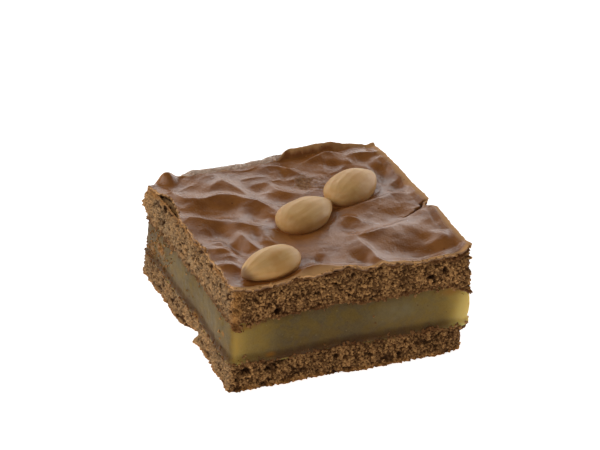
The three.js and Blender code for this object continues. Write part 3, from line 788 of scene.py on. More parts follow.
def crust_material():
    material, tree, shader = new_material("egg_glazed_crust")
    place = millimetres(tree)
    brown = (0.330, 0.125, 0.030, 1)
    deep = (0.242, 0.085, 0.019, 1)
    # rim: golden edge colour, brightened as a painted glow where light shines through the thin crust
    rim = (0.600, 0.315, 0.118, 1)
    # lip: a deeper brown over the curled lip's face, painted shade under its curl
    lip = (0.290, 0.095, 0.028, 1)
    # Golden top of the torn lip, made brighter as painted light because the lip's face lies in shade
    golden_lit_lip_top = (0.780, 0.440, 0.180, 1)
    # under: painted shade beneath the crust's overhanging edge and on its underside
    under = (0.100, 0.042, 0.016, 1)
    dry = (0.350, 0.175, 0.060, 1)
    dark_dry = (0.110, 0.048, 0.015, 1)
    pinhole = (0.030, 0.012, 0.006, 1)
    crack = (0.020, 0.008, 0.004, 1)
    blotch = use_group(tree, MOTTLE, {"Place": place, "Size": 7.0, "From": 0.38, "To": 0.66})["Mask"]
    colour = mixed(tree, blotch, brown, deep)
    fleck = use_group(tree, MOTTLE, {"Place": place, "Size": 0.8, "From": 0.45, "To": 0.7})["Mask"]
    colour = mixed(tree, sums(tree, "MULTIPLY", fleck, 0.25), colour, deep)
    crumbly = use_group(tree, MOTTLE, {"Place": place, "Size": 0.55, "From": 0.4, "To": 0.6})["Mask"]
    dry_tone = mixed(tree, crumbly, dry, dark_dry)
    colour = mixed(tree, sums(tree, "MULTIPLY", stored(tree, "dry"), 0.8), colour, dry_tone)
    colour = mixed(tree, sums(tree, "MULTIPLY", stored(tree, "lip"), 0.8), colour, lip)
    colour = mixed(tree, stored(tree, "rim"), colour, rim)
    colour = mixed(tree, sums(tree, "MULTIPLY", stored(tree, "golden_lit_lip_top"), 0.85), colour, golden_lit_lip_top)
    colour = mixed(tree, stored(tree, "under"), colour, under)
    feeds = {"Place": place, "Spacing": 1.9, "Radius": 0.28, "Share": 0.22}
    pinholes = use_group(tree, SPECKS, feeds)["Mask"]
    colour = mixed(tree, sums(tree, "MULTIPLY", pinholes, 0.75), colour, pinhole)
    colour = mixed(tree, stored(tree, "crack"), colour, crack)
    tree.links.new(colour, shader.inputs["Base Color"])
    matt = sums(tree, "MAXIMUM", stored(tree, "dry"), stored(tree, "rim"))
    tree.links.new(ranged(tree, matt, 0.0, 1.0, 0.26, 0.8), shader.inputs["Roughness"])
    tree.links.new(ranged(tree, matt, 0.0, 1.0, 0.05, 0.0), shader.inputs["Coat Weight"])
    shader.inputs["Specular IOR Level"].default_value = 0.42
    shader.inputs["Coat Roughness"].default_value = 0.25
    shader.inputs["Coat IOR"].default_value = 1.5
    fine = add(tree, "ShaderNodeTexNoise", None, {"Vector": place, "Scale": 1.6, "Detail": 4.0}).outputs[0]
    bump(tree, shader, fine, 0.5, 0.25)
    return material


def crumb_material():
    material, tree, shader = new_material("spiced_crumb")
    place = millimetres(tree)
    pit_shade = (0.070, 0.028, 0.008, 1)
    middle = (0.085, 0.032, 0.007, 1)
    # pale: the pale grain tone, also used for painted highlights on raised grains
    pale = (0.505, 0.260, 0.092, 1)
    soaked = (0.120, 0.040, 0.009, 1)
    # Painted light on the left side: a paler, greyer crumb colour where the left light falls
    painted_left_light = (0.470, 0.325, 0.175, 1)
    golden = (0.380, 0.165, 0.038, 1)
    flake = (1.0, 0.820, 0.680, 1)
    dark_flake = (0.750, 0.520, 0.380, 1)
    depth = stored(tree, "depth")
    grain = use_group(tree, GRAIN, {"Place": place, "Size": 0.5})
    slow = use_group(tree, MOTTLE, {"Place": place, "Size": 5.0, "From": 0.35, "To": 0.65})["Mask"]
    tone = sums(tree, "MULTIPLY_ADD", grain["Tone"], 0.7, sums(tree, "MULTIPLY", slow, 0.25))
    tone = sums(tree, "ADD", tone, stored(tree, "tone"))
    # Painted light: raised parts of the relief lean towards the pale tone and sunk parts away from it, on top
    # of each grain's own tone
    tone = sums(tree, "MULTIPLY_ADD", depth, 0.3, tone)
    colour = mixed(tree, ranged(tree, tone, 0.1, 1.05), middle, pale)
    colour = mixed(tree, sums(tree, "MULTIPLY", stored(tree, "painted_left_light"), 0.4), colour, painted_left_light)
    colour = mixed(tree, sums(tree, "MULTIPLY", stored(tree, "golden"), 0.7), colour, golden)
    # Painted shade: the sunk parts of the relief are darkened towards the pit colour, more so on the left
    # side
    shade = sums(tree, "MULTIPLY", depth, sums(tree, "MULTIPLY_ADD", stored(tree, "painted_left_light"), 1.0, 1.0))
    colour = mixed(tree, ranged(tree, shade, -0.1, -0.95), colour, pit_shade)
    # Soaked crumb next to the paste; on the top crumb this also darkens the crumb right under the crust, as
    # painted shade beneath its overhang
    colour = mixed(tree, stored(tree, "soaked"), colour, soaked)
    drawn = add(tree, "ShaderNodeMapping", None, {"Vector": place, "Scale": (0.15, 1.0, 2.5)}).outputs[0]
    lines = use_group(tree, MOTTLE, {"Place": drawn, "Size": 0.8, "From": 0.4, "To": 0.6})["Mask"]
    colour = mixed(tree, stored(tree, "bare"), colour, mixed(tree, lines, flake, dark_flake))
    tree.links.new(colour, shader.inputs["Base Color"])
    shader.inputs["Roughness"].default_value = 0.8
    shader.inputs["Specular IOR Level"].default_value = 0.15
    fine = add(tree, "ShaderNodeTexNoise", None, {"Vector": place, "Scale": 3.0, "Detail": 4.0}).outputs[0]
    bump(tree, shader, fine, 0.6, 0.25)
    return material


def paste_material():
    material, tree, shader = new_material("almond_paste")
    place = millimetres(tree)
    body = (0.135, 0.083, 0.021, 1)
    glow_yellow = (0.480, 0.308, 0.070, 1)
    grey = (0.110, 0.076, 0.031, 1)
    soaked = (0.080, 0.033, 0.012, 1)
    syrup = (0.300, 0.120, 0.016, 1)
    speck = (0.360, 0.270, 0.120, 1)
    milky = (0.200, 0.150, 0.075, 1)
    # pale: painted glow of light through the paste's right end
    pale = (0.720, 0.545, 0.175, 1)
    cloud = use_group(tree, MOTTLE, {"Place": place, "Size": 3.0, "From": 0.4, "To": 0.6})["Mask"]
    colour = mixed(tree, cloud, body, grey)
    # Painted glow: the ends are painted brighter where light shines through the paste
    colour = mixed(tree, stored(tree, "end"), colour, glow_yellow)
    grain = use_group(tree, GRAIN, {"Place": place, "Size": 0.45})
    colour = mixed(tree, sums(tree, "MULTIPLY", grain["Tone"], 0.1), colour, glow_yellow)
    specks = use_group(tree, SPECKS, {"Place": place, "Spacing": 1.6, "Radius": 0.2, "Share": 0.25})["Mask"]
    colour = mixed(tree, sums(tree, "MULTIPLY", specks, 0.5), colour, speck)
    colour = mixed(tree, stored(tree, "milky"), colour, milky)
    colour = mixed(tree, stored(tree, "pale"), colour, pale)
    colour = mixed(tree, stored(tree, "soaked"), colour, soaked)
    colour = mixed(tree, stored(tree, "stain"), colour, syrup)
    tree.links.new(colour, shader.inputs["Base Color"])
    shader.inputs["Roughness"].default_value = 0.5
    shader.inputs["Specular IOR Level"].default_value = 0.05
    shader.inputs["Subsurface Weight"].default_value = 0.8
    shader.inputs["Subsurface Radius"].default_value = (1.0, 0.75, 0.35)
    shader.inputs["Subsurface Scale"].default_value = 4.0 * MM
    fine = add(tree, "ShaderNodeTexNoise", None, {"Vector": place, "Scale": 2.2, "Detail": 4.0}).outputs[0]
    bump(tree, shader, sums(tree, "MULTIPLY_ADD", grain["Height"], 0.4, fine), 0.4, 0.2)
    return material


def almond_material():
    material, tree, shader = new_material("toasted_almond")
    local = add(tree, "ShaderNodeAttribute", {"attribute_name": "local"}).outputs["Vector"]
    tan = (0.665, 0.375, 0.130, 1)
    cream = (0.705, 0.425, 0.170, 1)
    toast = (0.560, 0.265, 0.065, 1)
    tip = (0.200, 0.085, 0.030, 1)
    speck = (0.160, 0.070, 0.030, 1)
    drawn = add(tree, "ShaderNodeMapping", None, {"Vector": local, "Scale": (0.12, 1.1, 1.1)}).outputs[0]
    streak = add(tree, "ShaderNodeTexNoise", None, {"Vector": drawn, "Scale": 1.3, "Detail": 3.0}).outputs[0]
    colour = mixed(tree, ranged(tree, streak, 0.2, 0.8), tan, cream)
    patch = use_group(tree, MOTTLE, {"Place": local, "Size": 7.0, "From": 0.45, "To": 0.65})["Mask"]
    colour = mixed(tree, sums(tree, "MULTIPLY", patch, 0.6), colour, toast)
    colour = mixed(tree, stored(tree, "tip"), colour, tip)
    specks = use_group(tree, SPECKS, {"Place": local, "Spacing": 2.2, "Radius": 0.16, "Share": 0.25})["Mask"]
    colour = mixed(tree, sums(tree, "MULTIPLY", specks, 0.6), colour, speck)
    tree.links.new(colour, shader.inputs["Base Color"])
    shader.inputs["Roughness"].default_value = 0.5
    shader.inputs["Specular IOR Level"].default_value = 0.3
    shader.inputs["Subsurface Weight"].default_value = 0.25
    shader.inputs["Subsurface Radius"].default_value = (1.0, 0.6, 0.3)
    shader.inputs["Subsurface Scale"].default_value = 1.2 * MM
    bump(tree, shader, streak, 0.15, 0.2)
    return material


MATERIAL = {
    "crust": crust_material(),
    "crumb": crumb_material(),
    "paste": paste_material(),
    "almond": almond_material(),
}


# Geometry trees
def shape_tree(name, inputs):
    tree = bpy.data.node_groups.new(name, "GeometryNodeTree")
    tree.interface.new_socket("Geometry", in_out="INPUT", socket_type="NodeSocketGeometry")
    for label, kind, value in inputs:
        socket = tree.interface.new_socket(label, in_out="INPUT", socket_type=kind)
        if value is not None:
            socket.default_value = value
    tree.interface.new_socket("Geometry", in_out="OUTPUT", socket_type="NodeSocketGeometry")
    return tree, tree.nodes.new("NodeGroupInput").outputs, tree.nodes.new("NodeGroupOutput").inputs


def field(tree, name, kind="FLOAT"):
    return add(tree, "GeometryNodeInputNamedAttribute", {"data_type": kind}, {"Name": name}).outputs[0]


def kept_field(tree, geometry, name, value):
    """Stores a number on each point, for the materials."""
    feeds = {"Geometry": geometry, "Name": name, "Value": value}
    settings = {"data_type": "FLOAT", "domain": "POINT"}
    return add(tree, "GeometryNodeStoreNamedAttribute", settings, feeds).outputs[0]


def drawn_at_random(tree, kind, feeds, seed):
    settings = {"data_type": kind}
    return add(tree, "FunctionNodeRandomValue", settings, feeds | {"Seed": seed}).outputs


def seeded_place(tree, seed):
    """Position in millimetres, moved by the seed."""
    place = add(tree, "GeometryNodeInputPosition").outputs[0]
    scaled = vectors(tree, "SCALE", {0: place, "Scale": 1 / MM})
    away = sums(tree, "MULTIPLY", seed, 31.7)
    return vectors(tree, "ADD", {0: scaled, 1: away})


def cloud_at(tree, place, size, detail):
    scale = sums(tree, "DIVIDE", 1.0, size)
    feeds = {"Vector": place, "Scale": scale, "Detail": detail}
    return add(tree, "ShaderNodeTexNoise", None, feeds).outputs[0]


def crumb_relief_tree():
    """Roughens a cut side: lumps, grains of two sizes and irregular caves, along the stored direction."""
    tree, given, out = shape_tree(
        "crumb_relief",
        [
            ("Lump size", NUMBER, 2.6),
            ("Lump height", NUMBER, 1.4),
            ("Grain size", NUMBER, 1.05),
            ("Grain height", NUMBER, 0.85),
            ("Fine grain size", NUMBER, 0.5),
            ("Fine grain height", NUMBER, 0.5),
            ("Cave size", NUMBER, 2.2),
            ("Cave depth", NUMBER, 0.75),
            ("Small cave size", NUMBER, 0.85),
            ("Small cave depth", NUMBER, 0.6),
            ("Seed", NUMBER, 1.0),
            ("Material", "NodeSocketMaterial", None),
        ],
    )
    place = seeded_place(tree, given["Seed"])
    lumps = sums(tree, "SUBTRACT", cloud_at(tree, place, given["Lump size"], 2.0), 0.5)
    total = sums(tree, "MULTIPLY", lumps, given["Lump height"])
    for label in ("Grain", "Fine grain"):
        scale = sums(tree, "DIVIDE", 1.0, given[f"{label} size"])
        away = add(tree, "ShaderNodeTexVoronoi", None, {"Vector": place, "Scale": scale}).outputs["Distance"]
        total = sums(tree, "MULTIPLY_ADD", sums(tree, "SUBTRACT", 0.5, away), given[f"{label} height"], total)
    flattened = vectors(tree, "MULTIPLY", {0: place, 1: (0.7, 0.7, 1.3)})
    for label in ("Cave", "Small cave"):
        cave = ranged(tree, cloud_at(tree, flattened, given[f"{label} size"], 3.0), 0.54, 0.7)
        total = sums(tree, "SUBTRACT", total, sums(tree, "MULTIPLY", cave, given[f"{label} depth"]))
    total = sums(tree, "SUBTRACT", total, field(tree, "hollow"))
    total = sums(tree, "MULTIPLY", total, field(tree, "hold"))
    push = sums(tree, "MULTIPLY", total, MM)
    offset = vectors(tree, "SCALE", {0: field(tree, "outward", "FLOAT_VECTOR"), "Scale": push})
    # The depth is also used for the crumb's painted shade in its pits and painted light on its raised grains
    marked = kept_field(tree, given["Geometry"], "depth", total)
    moved = add(tree, "GeometryNodeSetPosition", None, {"Geometry": marked, "Offset": offset}).outputs[0]
    real = add(tree, "GeometryNodeRealizeInstances", None, {"Geometry": moved}).outputs[0]
    feeds = {"Geometry": real, "Material": given["Material"]}
    tree.links.new(add(tree, "GeometryNodeSetMaterial", None, feeds).outputs[0], out["Geometry"])
    return tree


def crumb_grain_tree():
    """Loose lumpy grains sown over a rough side, as thick as its stored cover."""
    tree, given, out = shape_tree(
        "crumb_grains",
        [
            ("Grains per square mm", NUMBER, 0.8),
            ("Smallest", NUMBER, 0.16),
            ("Largest", NUMBER, 0.68),
            ("Lumpiness", NUMBER, 0.5),
            ("Seed", "NodeSocketInt", 1),
            ("Material", "NodeSocketMaterial", None),
        ],
    )
    thick = sums(tree, "MULTIPLY", given["Grains per square mm"], 1 / MM**2)
    feeds = {
        "Mesh": given["Geometry"],
        "Density": sums(tree, "MULTIPLY", thick, field(tree, "cover")),
        "Seed": given["Seed"],
    }
    settings = {"distribute_method": "RANDOM"}
    sown = add(tree, "GeometryNodeDistributePointsOnFaces", settings, feeds).outputs["Points"]
    tone = drawn_at_random(tree, "FLOAT", {2: -0.4, 3: 0.35}, given["Seed"])[1]
    toned = kept_field(tree, sown, "tone", tone)
    ball = add(tree, "GeometryNodeMeshUVSphere", None, {"Radius": MM, "Segments": 4, "Rings": 2}).outputs[0]
    turn = drawn_at_random(tree, "FLOAT_VECTOR", {1: (6.3, 6.3, 6.3)}, given["Seed"])[0]
    low = given["Smallest"]
    size = drawn_at_random(tree, "FLOAT", {2: 0.0, 3: 1.0}, given["Seed"])[1]
    size = sums(tree, "MULTIPLY", size, size)
    size = sums(tree, "MULTIPLY_ADD", size, sums(tree, "SUBTRACT", given["Largest"], low), low)
    feeds = {"Points": toned, "Instance": ball, "Rotation": turn, "Scale": size}
    placed = add(tree, "GeometryNodeInstanceOnPoints", None, feeds).outputs[0]
    real = add(tree, "GeometryNodeRealizeInstances", None, {"Geometry": placed}).outputs[0]
    place = add(tree, "GeometryNodeInputPosition").outputs[0]
    feeds = {"Vector": place, "Scale": 1 / (0.5 * MM), "Detail": 1.0}
    cloud = add(tree, "ShaderNodeTexNoise", None, feeds).outputs["Color"]
    centred = vectors(tree, "SUBTRACT", {0: cloud, 1: (0.5, 0.5, 0.5)})
    push = sums(tree, "MULTIPLY", given["Lumpiness"], MM)
    offset = vectors(tree, "SCALE", {0: centred, "Scale": push})
    lumpy = add(tree, "GeometryNodeSetPosition", None, {"Geometry": real, "Offset": offset}).outputs[0]
    feeds = {"Geometry": lumpy, "Material": given["Material"]}
    tree.links.new(add(tree, "GeometryNodeSetMaterial", None, feeds).outputs[0], out["Geometry"])
    return tree


def grown(piece, tree, values):
    """Runs a geometry tree on a piece and returns the result as a plain mesh."""
    modifier = piece.modifiers.new(tree.name, "NODES")
    modifier.node_group = tree
    for item in tree.interface.items_tree:
        if item.in_out == "INPUT" and item.name in values:
            modifier[item.identifier] = values[item.name]
    depsgraph = bpy.context.evaluated_depsgraph_get()
    mesh = bpy.data.meshes.new_from_object(
        piece.evaluated_get(depsgraph), preserve_all_data_layers=True, depsgraph=depsgraph
    )
    piece.modifiers.remove(modifier)
    return mesh


RELIEF = crumb_relief_tree()
SOWN_GRAINS = crumb_grain_tree()


# Pieces
def spaced(*stretches):
    """Numbers along an axis, in stretches that each have a start, an end and a spacing."""
    return np.concatenate([np.arange(*stretch) for stretch in stretches])


def crust_grid():
    """Rows of places on the square outline, closer together at the crack and at the back."""
    crack_low = np.min(CRACK, axis=0) - 1
    crack_high = np.max(CRACK, axis=0) + 1
    step_foot = DEPTH / 2 - STEP["foot"] - 0.5
    right = WIDTH / 2 - CRUST_INSET
    back = DEPTH / 2 - CRUST_INSET
    columns = spaced((-right, crack_low[0], CRUST_SPACING), (crack_low[0], right, FINE_SPACING))
    rows = spaced(
        (-back, crack_low[1], CRUST_SPACING),
        (crack_low[1], crack_high[1], FINE_SPACING),
        (crack_high[1], step_foot, CRUST_SPACING),
        (step_foot, back, FINE_SPACING),
    )
    return np.meshgrid(columns, rows)


def broken_edges(x, y, gap):
    """Moves edges in at the notch, the bare strip and the left bite, and a little out on the right."""
    notch = hump(y - NOTCH["y"], NOTCH["half_width"]) * np.exp(-gap["right"] / NOTCH["reach"])
    x = x - NOTCH["depth"] * notch
    y = y - BARE_STRIP["width"] * bare_share(x) * np.exp(-gap["back"] / BARE_STRIP["reach"])
    bite = LEFT_BITE["depth"] * np.exp(-gap["left"] / LEFT_BITE["reach"])
    x = x + bite * hump(y - LEFT_BITE["at"], LEFT_BITE["half_length"])
    x = x + RIGHT_EDGE_OUT["by"] * np.exp(-gap["right"] / RIGHT_EDGE_OUT["reach"])
    return x, y


def crack_share(x, y):
    """1 in the crack and where it gapes, 0 away from it."""
    warped_x = x + rough(x, y, (CRACK_WARP["by"], CRACK_WARP["size"], 4.2))
    warped_y = y + rough(x, y, (CRACK_WARP["by"], CRACK_WARP["size"], 9.6))
    away, along, _ = near_path(np.array(CRACK), warped_x, warped_y)
    half_width = CRACK_HALF_WIDTH * (1 + rough(x, y, (0.6, 1.1, 5.9)))
    share = np.exp(-((away / half_width) ** 2)) * smoothstep(1 - along, 0, 0.5)
    for at, span in CRACK_GAPES:
        share = np.maximum(share, oval(at, span, warped_x, warped_y))
    return share


def golden_rim_and_glow(x, y, gap):
    """1 where the crust is golden along its edges: partly its own colour, partly a painted glow of light
    through the thin edge and a painted highlight along the front.
    """
    front_left = (1 - smoothstep(gap["front"], 0, 3)) * (1 - smoothstep(x, -12, -4))
    flap = (1 - smoothstep(gap["front"], 2, 5)) * hump(x + 10, 9)
    gold_and_glow = EDGE_GOLD_AND_GLOW["all_round"] + EDGE_GOLD_AND_GLOW["right"] * (1 - smoothstep(gap["right"], 0, 4))
    gold_and_glow = gold_and_glow + EDGE_GOLD_AND_GLOW["front_left"] * front_left + EDGE_GOLD_AND_GLOW["flap"] * flap
    gold_and_glow = gold_and_glow + EDGE_GOLD_AND_GLOW["front"] * (1 - smoothstep(gap["front"], 0, 3))
    gold_and_glow = gold_and_glow + EDGE_GOLD_AND_GLOW["back_right"] * smoothstep(x, 21, 27) * (1 - smoothstep(gap["back"], 0, 3))
    gold_and_glow = gold_and_glow * (1 + rough(x, y, (0.6, 4.1, 2.8)))
    nearest = np.minimum(np.minimum(gap["right"], gap["left"]), np.minimum(gap["back"], gap["front"]))
    on_left = (1 - smoothstep(gap["left"], 0, 2)) * smoothstep(gap["front"], 0, 4)
    golden = 1 - smoothstep(nearest + rough(x, y, (0.35, 1.1, 2.2)), -0.2, gold_and_glow)
    return golden * (1 - 0.35 * on_left)


def make_crust():
    square_x, square_y = crust_grid()
    grid = np.arange(square_x.size).reshape(square_x.shape)
    square_x = square_x.ravel()
    square_y = square_y.ravel()
    gap = {
        "front": DEPTH / 2 - CRUST_INSET + square_y,
        "right": square_x.max() - square_x,
        "back": square_y.max() - square_y,
        "left": WIDTH / 2 - CRUST_INSET + square_x,
    }
    x, y = swayed(square_x, square_y, slab_height(0, 0))
    x, y = broken_edges(x, y, gap)
    z = crust_height(x, y)
    up_ridge = ridge_profile(x, gap_to_back(x, y))
    y = y + lip_lean(x, gap["back"])
    torn = rough(x, y, (0.45, 2.6, 5.5), (0.3, 0.9, 6.5))
    x = x + torn * (0.4 * np.exp(-gap["right"] / 0.8) - 1.5 * np.exp(-gap["left"] / 1.2))
    y = y + torn * (0.4 * np.exp(-gap["back"] / 0.8) - np.exp(-gap["front"] / 0.8))
    z = z + 0.25 * torn * np.exp(-gap["back"] / 0.5)
    z = z + wrinkles(x, y)
    patch = oval(DRY_PATCH["at"], DRY_PATCH["span"], x, y)
    dry = 0.75 * smoothstep(patch + rough(x, y, (0.4, 3.0, 8.1), (0.35, 1.1, 9.1)), 0.3, 0.9)
    z = z + dry * rough(x, y, (0.35, 0.8, 1.7))
    crack = crack_share(x, y)
    z = z - CRACK_DEPTH * crack
    quads = np.stack([grid[:-1, :-1], grid[:-1, 1:], grid[1:, 1:], grid[1:, :-1]], -1).reshape(-1, 4)
    rim = np.concatenate([grid[0, :-1], grid[:-1, -1], grid[-1, :0:-1], grid[:0:-1, 0]])
    outward = np.zeros((len(rim), 2))
    for side, axis, way in (("front", 1, -1), ("back", 1, 1), ("left", 0, -1), ("right", 0, 1)):
        outward[gap[side][rim] < 1e-6, axis] += way
    outward /= np.linalg.norm(outward, axis=1)[:, None]
    lip_colour = lip_share(x) * (1 - smoothstep(x, LIP["full_to"], LIP["full_to"] + 5))
    worn = rough(x, y, (0.25, 1.6, 4.4), (0.2, 0.6, 4.8))
    # The lip's top is golden, partly its own colour and partly painted light
    golden_lit_lip_top = lip_colour * smoothstep(up_ridge + worn, 0.25, 0.95)
    points = [np.stack([x, y, z], 1)]
    marks = {
        "rim": [golden_rim_and_glow(x, y, gap)],
        # The lip's face is painted deeper brown: painted shade under the curl
        "lip": [lip_colour * smoothstep(up_ridge, 0.05, 0.4)],
        "golden_lit_lip_top": [golden_lit_lip_top],
        "crack": [crack],
        "dry": [dry],
        "under": [np.zeros(len(x))],
        "cover": [np.zeros(len(x))],
    }
    faces = quads.tolist()
    base = points[0][rim]
    calm = 1 - 0.65 * outward[:, 0].clip(0, 1) - 0.5 * outward[:, 1].clip(0, 1)
    jag = rough(base[:, 0], base[:, 1], (0.3, 1.4, 5.1), (0.35, 0.7, 6.1)) * calm
    ragged = rough(base[:, 0], base[:, 1], (0.4, 2.1, 7.7), (0.5, 0.8, 3.7)) * calm
    last = rim
    count = len(x)

    def add_ring(ring, under, cover):
        nonlocal last, count, faces
        numbers = np.arange(count, count + len(ring))
        points.append(ring)
        faces += band_faces(numbers, last)
        # The edge rings are all golden, partly as a painted glow through the thin edge
        marks["rim"].append(np.ones(len(ring)))
        marks["golden_lit_lip_top"].append(golden_lit_lip_top[rim])
        for label in ("crack", "dry", "lip"):
            marks[label].append(np.zeros(len(ring)))
        marks["under"].append(np.full(len(ring), under))
        marks["cover"].append(cover * (1 - np.maximum(outward[:, 0], outward[:, 1]).clip(0, 1)))
        count += len(ring)
        last = numbers

    # The lower rings of the edge and the underside take the under colour: painted shade beneath the overhang
    for out, down, jagged, torn_share in EDGE_PROFILE:
        ring = base.copy()
        ring[:, :2] += outward * (out + jag * jagged)[:, None]
        ring[:, 2] -= down * (1 + 0.5 * ragged) + ragged * torn_share * 0.6
        if out < 0:
            ring[:, 2] = np.minimum(ring[:, 2], crust_foot(ring[:, 0], ring[:, 1], CRUST_THICKNESS))
        add_ring(ring, float(smoothstep(down, 0.25, 0.55)), 0.4 if out > 0 else 0.0)
    for ring in inner_rings(points[-1], lambda x, y: crust_foot(x, y, CRUST_THICKNESS)):
        add_ring(ring, 1.0, 0.0)
    points.append(np.array([[0, 0, crust_foot(0.0, 0.0, CRUST_THICKNESS)]]))
    faces += fan_faces(last, count, False)
    piece = make_piece("crust", np.vstack(points), faces)
    for label, values in marks.items():
        give(piece, label, np.concatenate(values + [np.zeros(1)]))
    piece.data.materials.append(MATERIAL["crust"])
    return piece


def make_wall(name, spacing, low, high, relief, marks, cap=None, radius=CORNER_RADIUS):
    """A closed layer whose sides follow the outline, from low(x, y) to high(x, y), moved outwards by relief.

    Its top follows cap(x, y), which is its roof unless it is given.
    """
    points, outward = outline(spacing, 0.0, radius)
    x, y = points.T
    floor = low(x, y)
    roof = high(*swayed(x, y, slab_height(0, 0)))
    bands = round(float(np.mean(roof - floor)) / spacing)
    rings = []
    faces = []
    stored_marks = {label: [] for label in marks}
    count = len(points)
    sideways = np.column_stack([outward, np.zeros(count)])
    upward = np.tile((0.0, 0.0, 1.0), (count, 1))
    directions = []
    for band in range(bands + 1):
        share = band / bands
        z = floor + (roof - floor) * share
        placed = np.stack(swayed(x, y, z), 1)
        moved = placed + outward * relief(points, outward, z, share)[:, None]
        rings.append(np.column_stack([moved, z]))
        directions.append(sideways)
        for label, rule in marks.items():
            stored_marks[label].append(rule(placed, outward, z, share))
    for ring in inner_rings(rings[-1], cap or high):
        rings.append(ring)
        directions.append(upward)
        for label, rule in marks.items():
            stored_marks[label].append(rule(ring[:, :2], outward, ring[:, 2], 1.0))
    for step in range(1, len(rings)):
        low_ring = np.arange((step - 1) * count, step * count)
        faces += band_faces(low_ring, low_ring + count)
    total = count * len(rings)
    rings.append(np.array([[0, 0, low(0.0, 0.0)], [0, 0, (cap or high)(0.0, 0.0)]], float))
    directions.append(np.zeros((2, 3)))
    faces += fan_faces(np.arange(count), total, False)
    faces += fan_faces(np.arange(total - count, total), total + 1, True)
    piece = make_piece(name, np.vstack(rings), faces)
    give(piece, "outward", np.vstack(directions))
    for label, values in stored_marks.items():
        give(piece, label, np.concatenate(values + [np.zeros(2)]))
    return piece


def paste_roof(x, y):
    sag = ROOF_SAG["depth"] * smoothstep(x, ROOF_SAG["from"], ROOF_SAG["to"])
    return layer_height(PASTE_ROOF_SHARE, x, y) - sag


def paste_floor(x, y):
    return layer_height(PASTE_FLOOR_SHARE, x, y)


def bareness(x, y):
    """1 on the strip along the back where the crumb shows, 0 under the crust."""
    width = BARE_STRIP["width"]
    near_back = 1 - smoothstep(gap_to_back(x, y), width - 0.2, width + 0.3)
    return bare_share(x, BARE_STRIP["behind"]) * near_back


def under_crust(x, y):
    bare = bareness(x, y)
    at_lip = smoothstep(y, TUCK["from"], TUCK["to"]) * smoothstep(lip_share(x), TUCK["low"], TUCK["high"])
    under_lip = (BACK_RIDGE["foot"] + CRUST_OVERHANG) * at_lip
    tucked = crust_height(x, y - np.maximum(under_lip, CRUST_OVERHANG * (1 - bare)))
    sunk = smoothstep(x, SUNK_CRUMB["from_x"], SUNK_CRUMB["full_x"])
    sunk = SUNK_CRUMB["depth"] * sunk * hump(y - SUNK_CRUMB["y"], SUNK_CRUMB["half_length"])
    return np.minimum(crust_height(x, y), tucked) - CRUMB_EDGE_DEPTH + BARE_STRIP["rise"] * bare - sunk


def crumb_cap(x, y):
    return crust_foot(x, y, CRUMB_MIDDLE_DEPTH) + CRUMB_MIDDLE_DEPTH * bareness(x, y)


def hollow(points, outward, z, share):
    """Depth of the deep holes."""
    return side_spots(HOLES, points, outward, z)


def all_over(points, outward, z, share):
    return np.ones(len(points))


def painted_left_light(points, outward, z, share):
    """Painted light: the left side's crumb is paler and greyer where the light from the left falls on it."""
    return facing("left", outward) * (0.8 + 0.4 * noise(points[:, 1] / 4, z / 4, 17.5))


def wander(points, z, size):
    return noise(points[:, 0] / size, points[:, 1] / size, z / size)


def torn_edge(points, cut):
    """How far a layer's edge wanders up or down where it meets the paste."""
    return rough(*points, (0.8, 3.1, cut), (0.5, 1.1, cut + 3))


def make_top_crumb():
    def relief(points, outward, z, share):
        edge_y = DEPTH / 2 + sway("back", points[:, 0])
        tucked = 1 - bareness(points[:, 0], edge_y) * facing("back", outward)
        return -CRUST_OVERHANG * tucked * (0.3 + 0.7 * smoothstep(share, 0.5, 1.0))

    def soaked(points, outward, z, share):
        near_paste = 1 - smoothstep(z - paste_roof(*points.T), 0.0, 2.0)
        right_end = smoothstep(points[:, 0], 18, 34)
        # Right under the crust the crumb is painted darker and redder: painted shade beneath the crust's
        # overhang, deepest at the right end
        below = under_crust(*points.T) - z + wander(points, z, 3.3)
        near_crust = 1 - smoothstep(below, 0.2, 2.0 + 1.5 * right_end)
        near_crust = near_crust * (0.75 + 0.2 * right_end) * (1 - bareness(*points.T))
        near_crust = near_crust * (1 - 0.7 * facing("left", outward))
        return np.maximum(0.6 * near_paste, near_crust)

    def golden(points, outward, z, share):
        below = under_crust(*points.T) - z + 1.2 * wander(points, z, 1.4)
        near_crust = (1 - smoothstep(below, 0.4, 2.4)) * facing("left", outward)
        corner_away = np.hypot(points[:, 0] + WIDTH / 2, points[:, 1] + DEPTH / 2)
        return np.maximum(near_crust, hump(corner_away + wander(points, z, 1.4), 4.5))

    def low(x, y):
        at_front = 1 - smoothstep(y, -DEPTH / 2 + 1, -DEPTH / 2 + 3)
        hang = sum(place["depth"] * hump(x - place["at"], place["half_width"]) for place in HANGING)
        return paste_roof(x, y) - 0.1 + torn_edge((x, y), 2.0) - hang * at_front

    def strip_top(points, z):
        """1 on the bare strip and at the top of the wall below it."""
        return bareness(*points.T) * (1 - smoothstep(under_crust(*points.T) - z, 0.5, 1.6))

    def cover(points, outward, z, share):
        strip = strip_top(points, z)
        return 0.2 * strip if share == 1 else 1 - 0.8 * strip

    def hold(points, outward, z, share):
        strip = strip_top(points, z)
        return 0.5 * strip if share == 1 else 1 - 0.5 * strip

    def bare(points, outward, z, share):
        return strip_top(points, z) * facing("back", outward)

    marks = {
        "hollow": hollow,
        "hold": hold,
        "cover": cover,
        "soaked": soaked,
        "bare": bare,
        "painted_left_light": painted_left_light,
        "golden": golden,
    }
    piece = make_wall("top_crumb", WALL_SPACING, low, under_crust, relief, marks, crumb_cap)
    piece.data = grown(piece, RELIEF, {"Seed": 1.0, "Material": MATERIAL["crumb"]})
    return piece


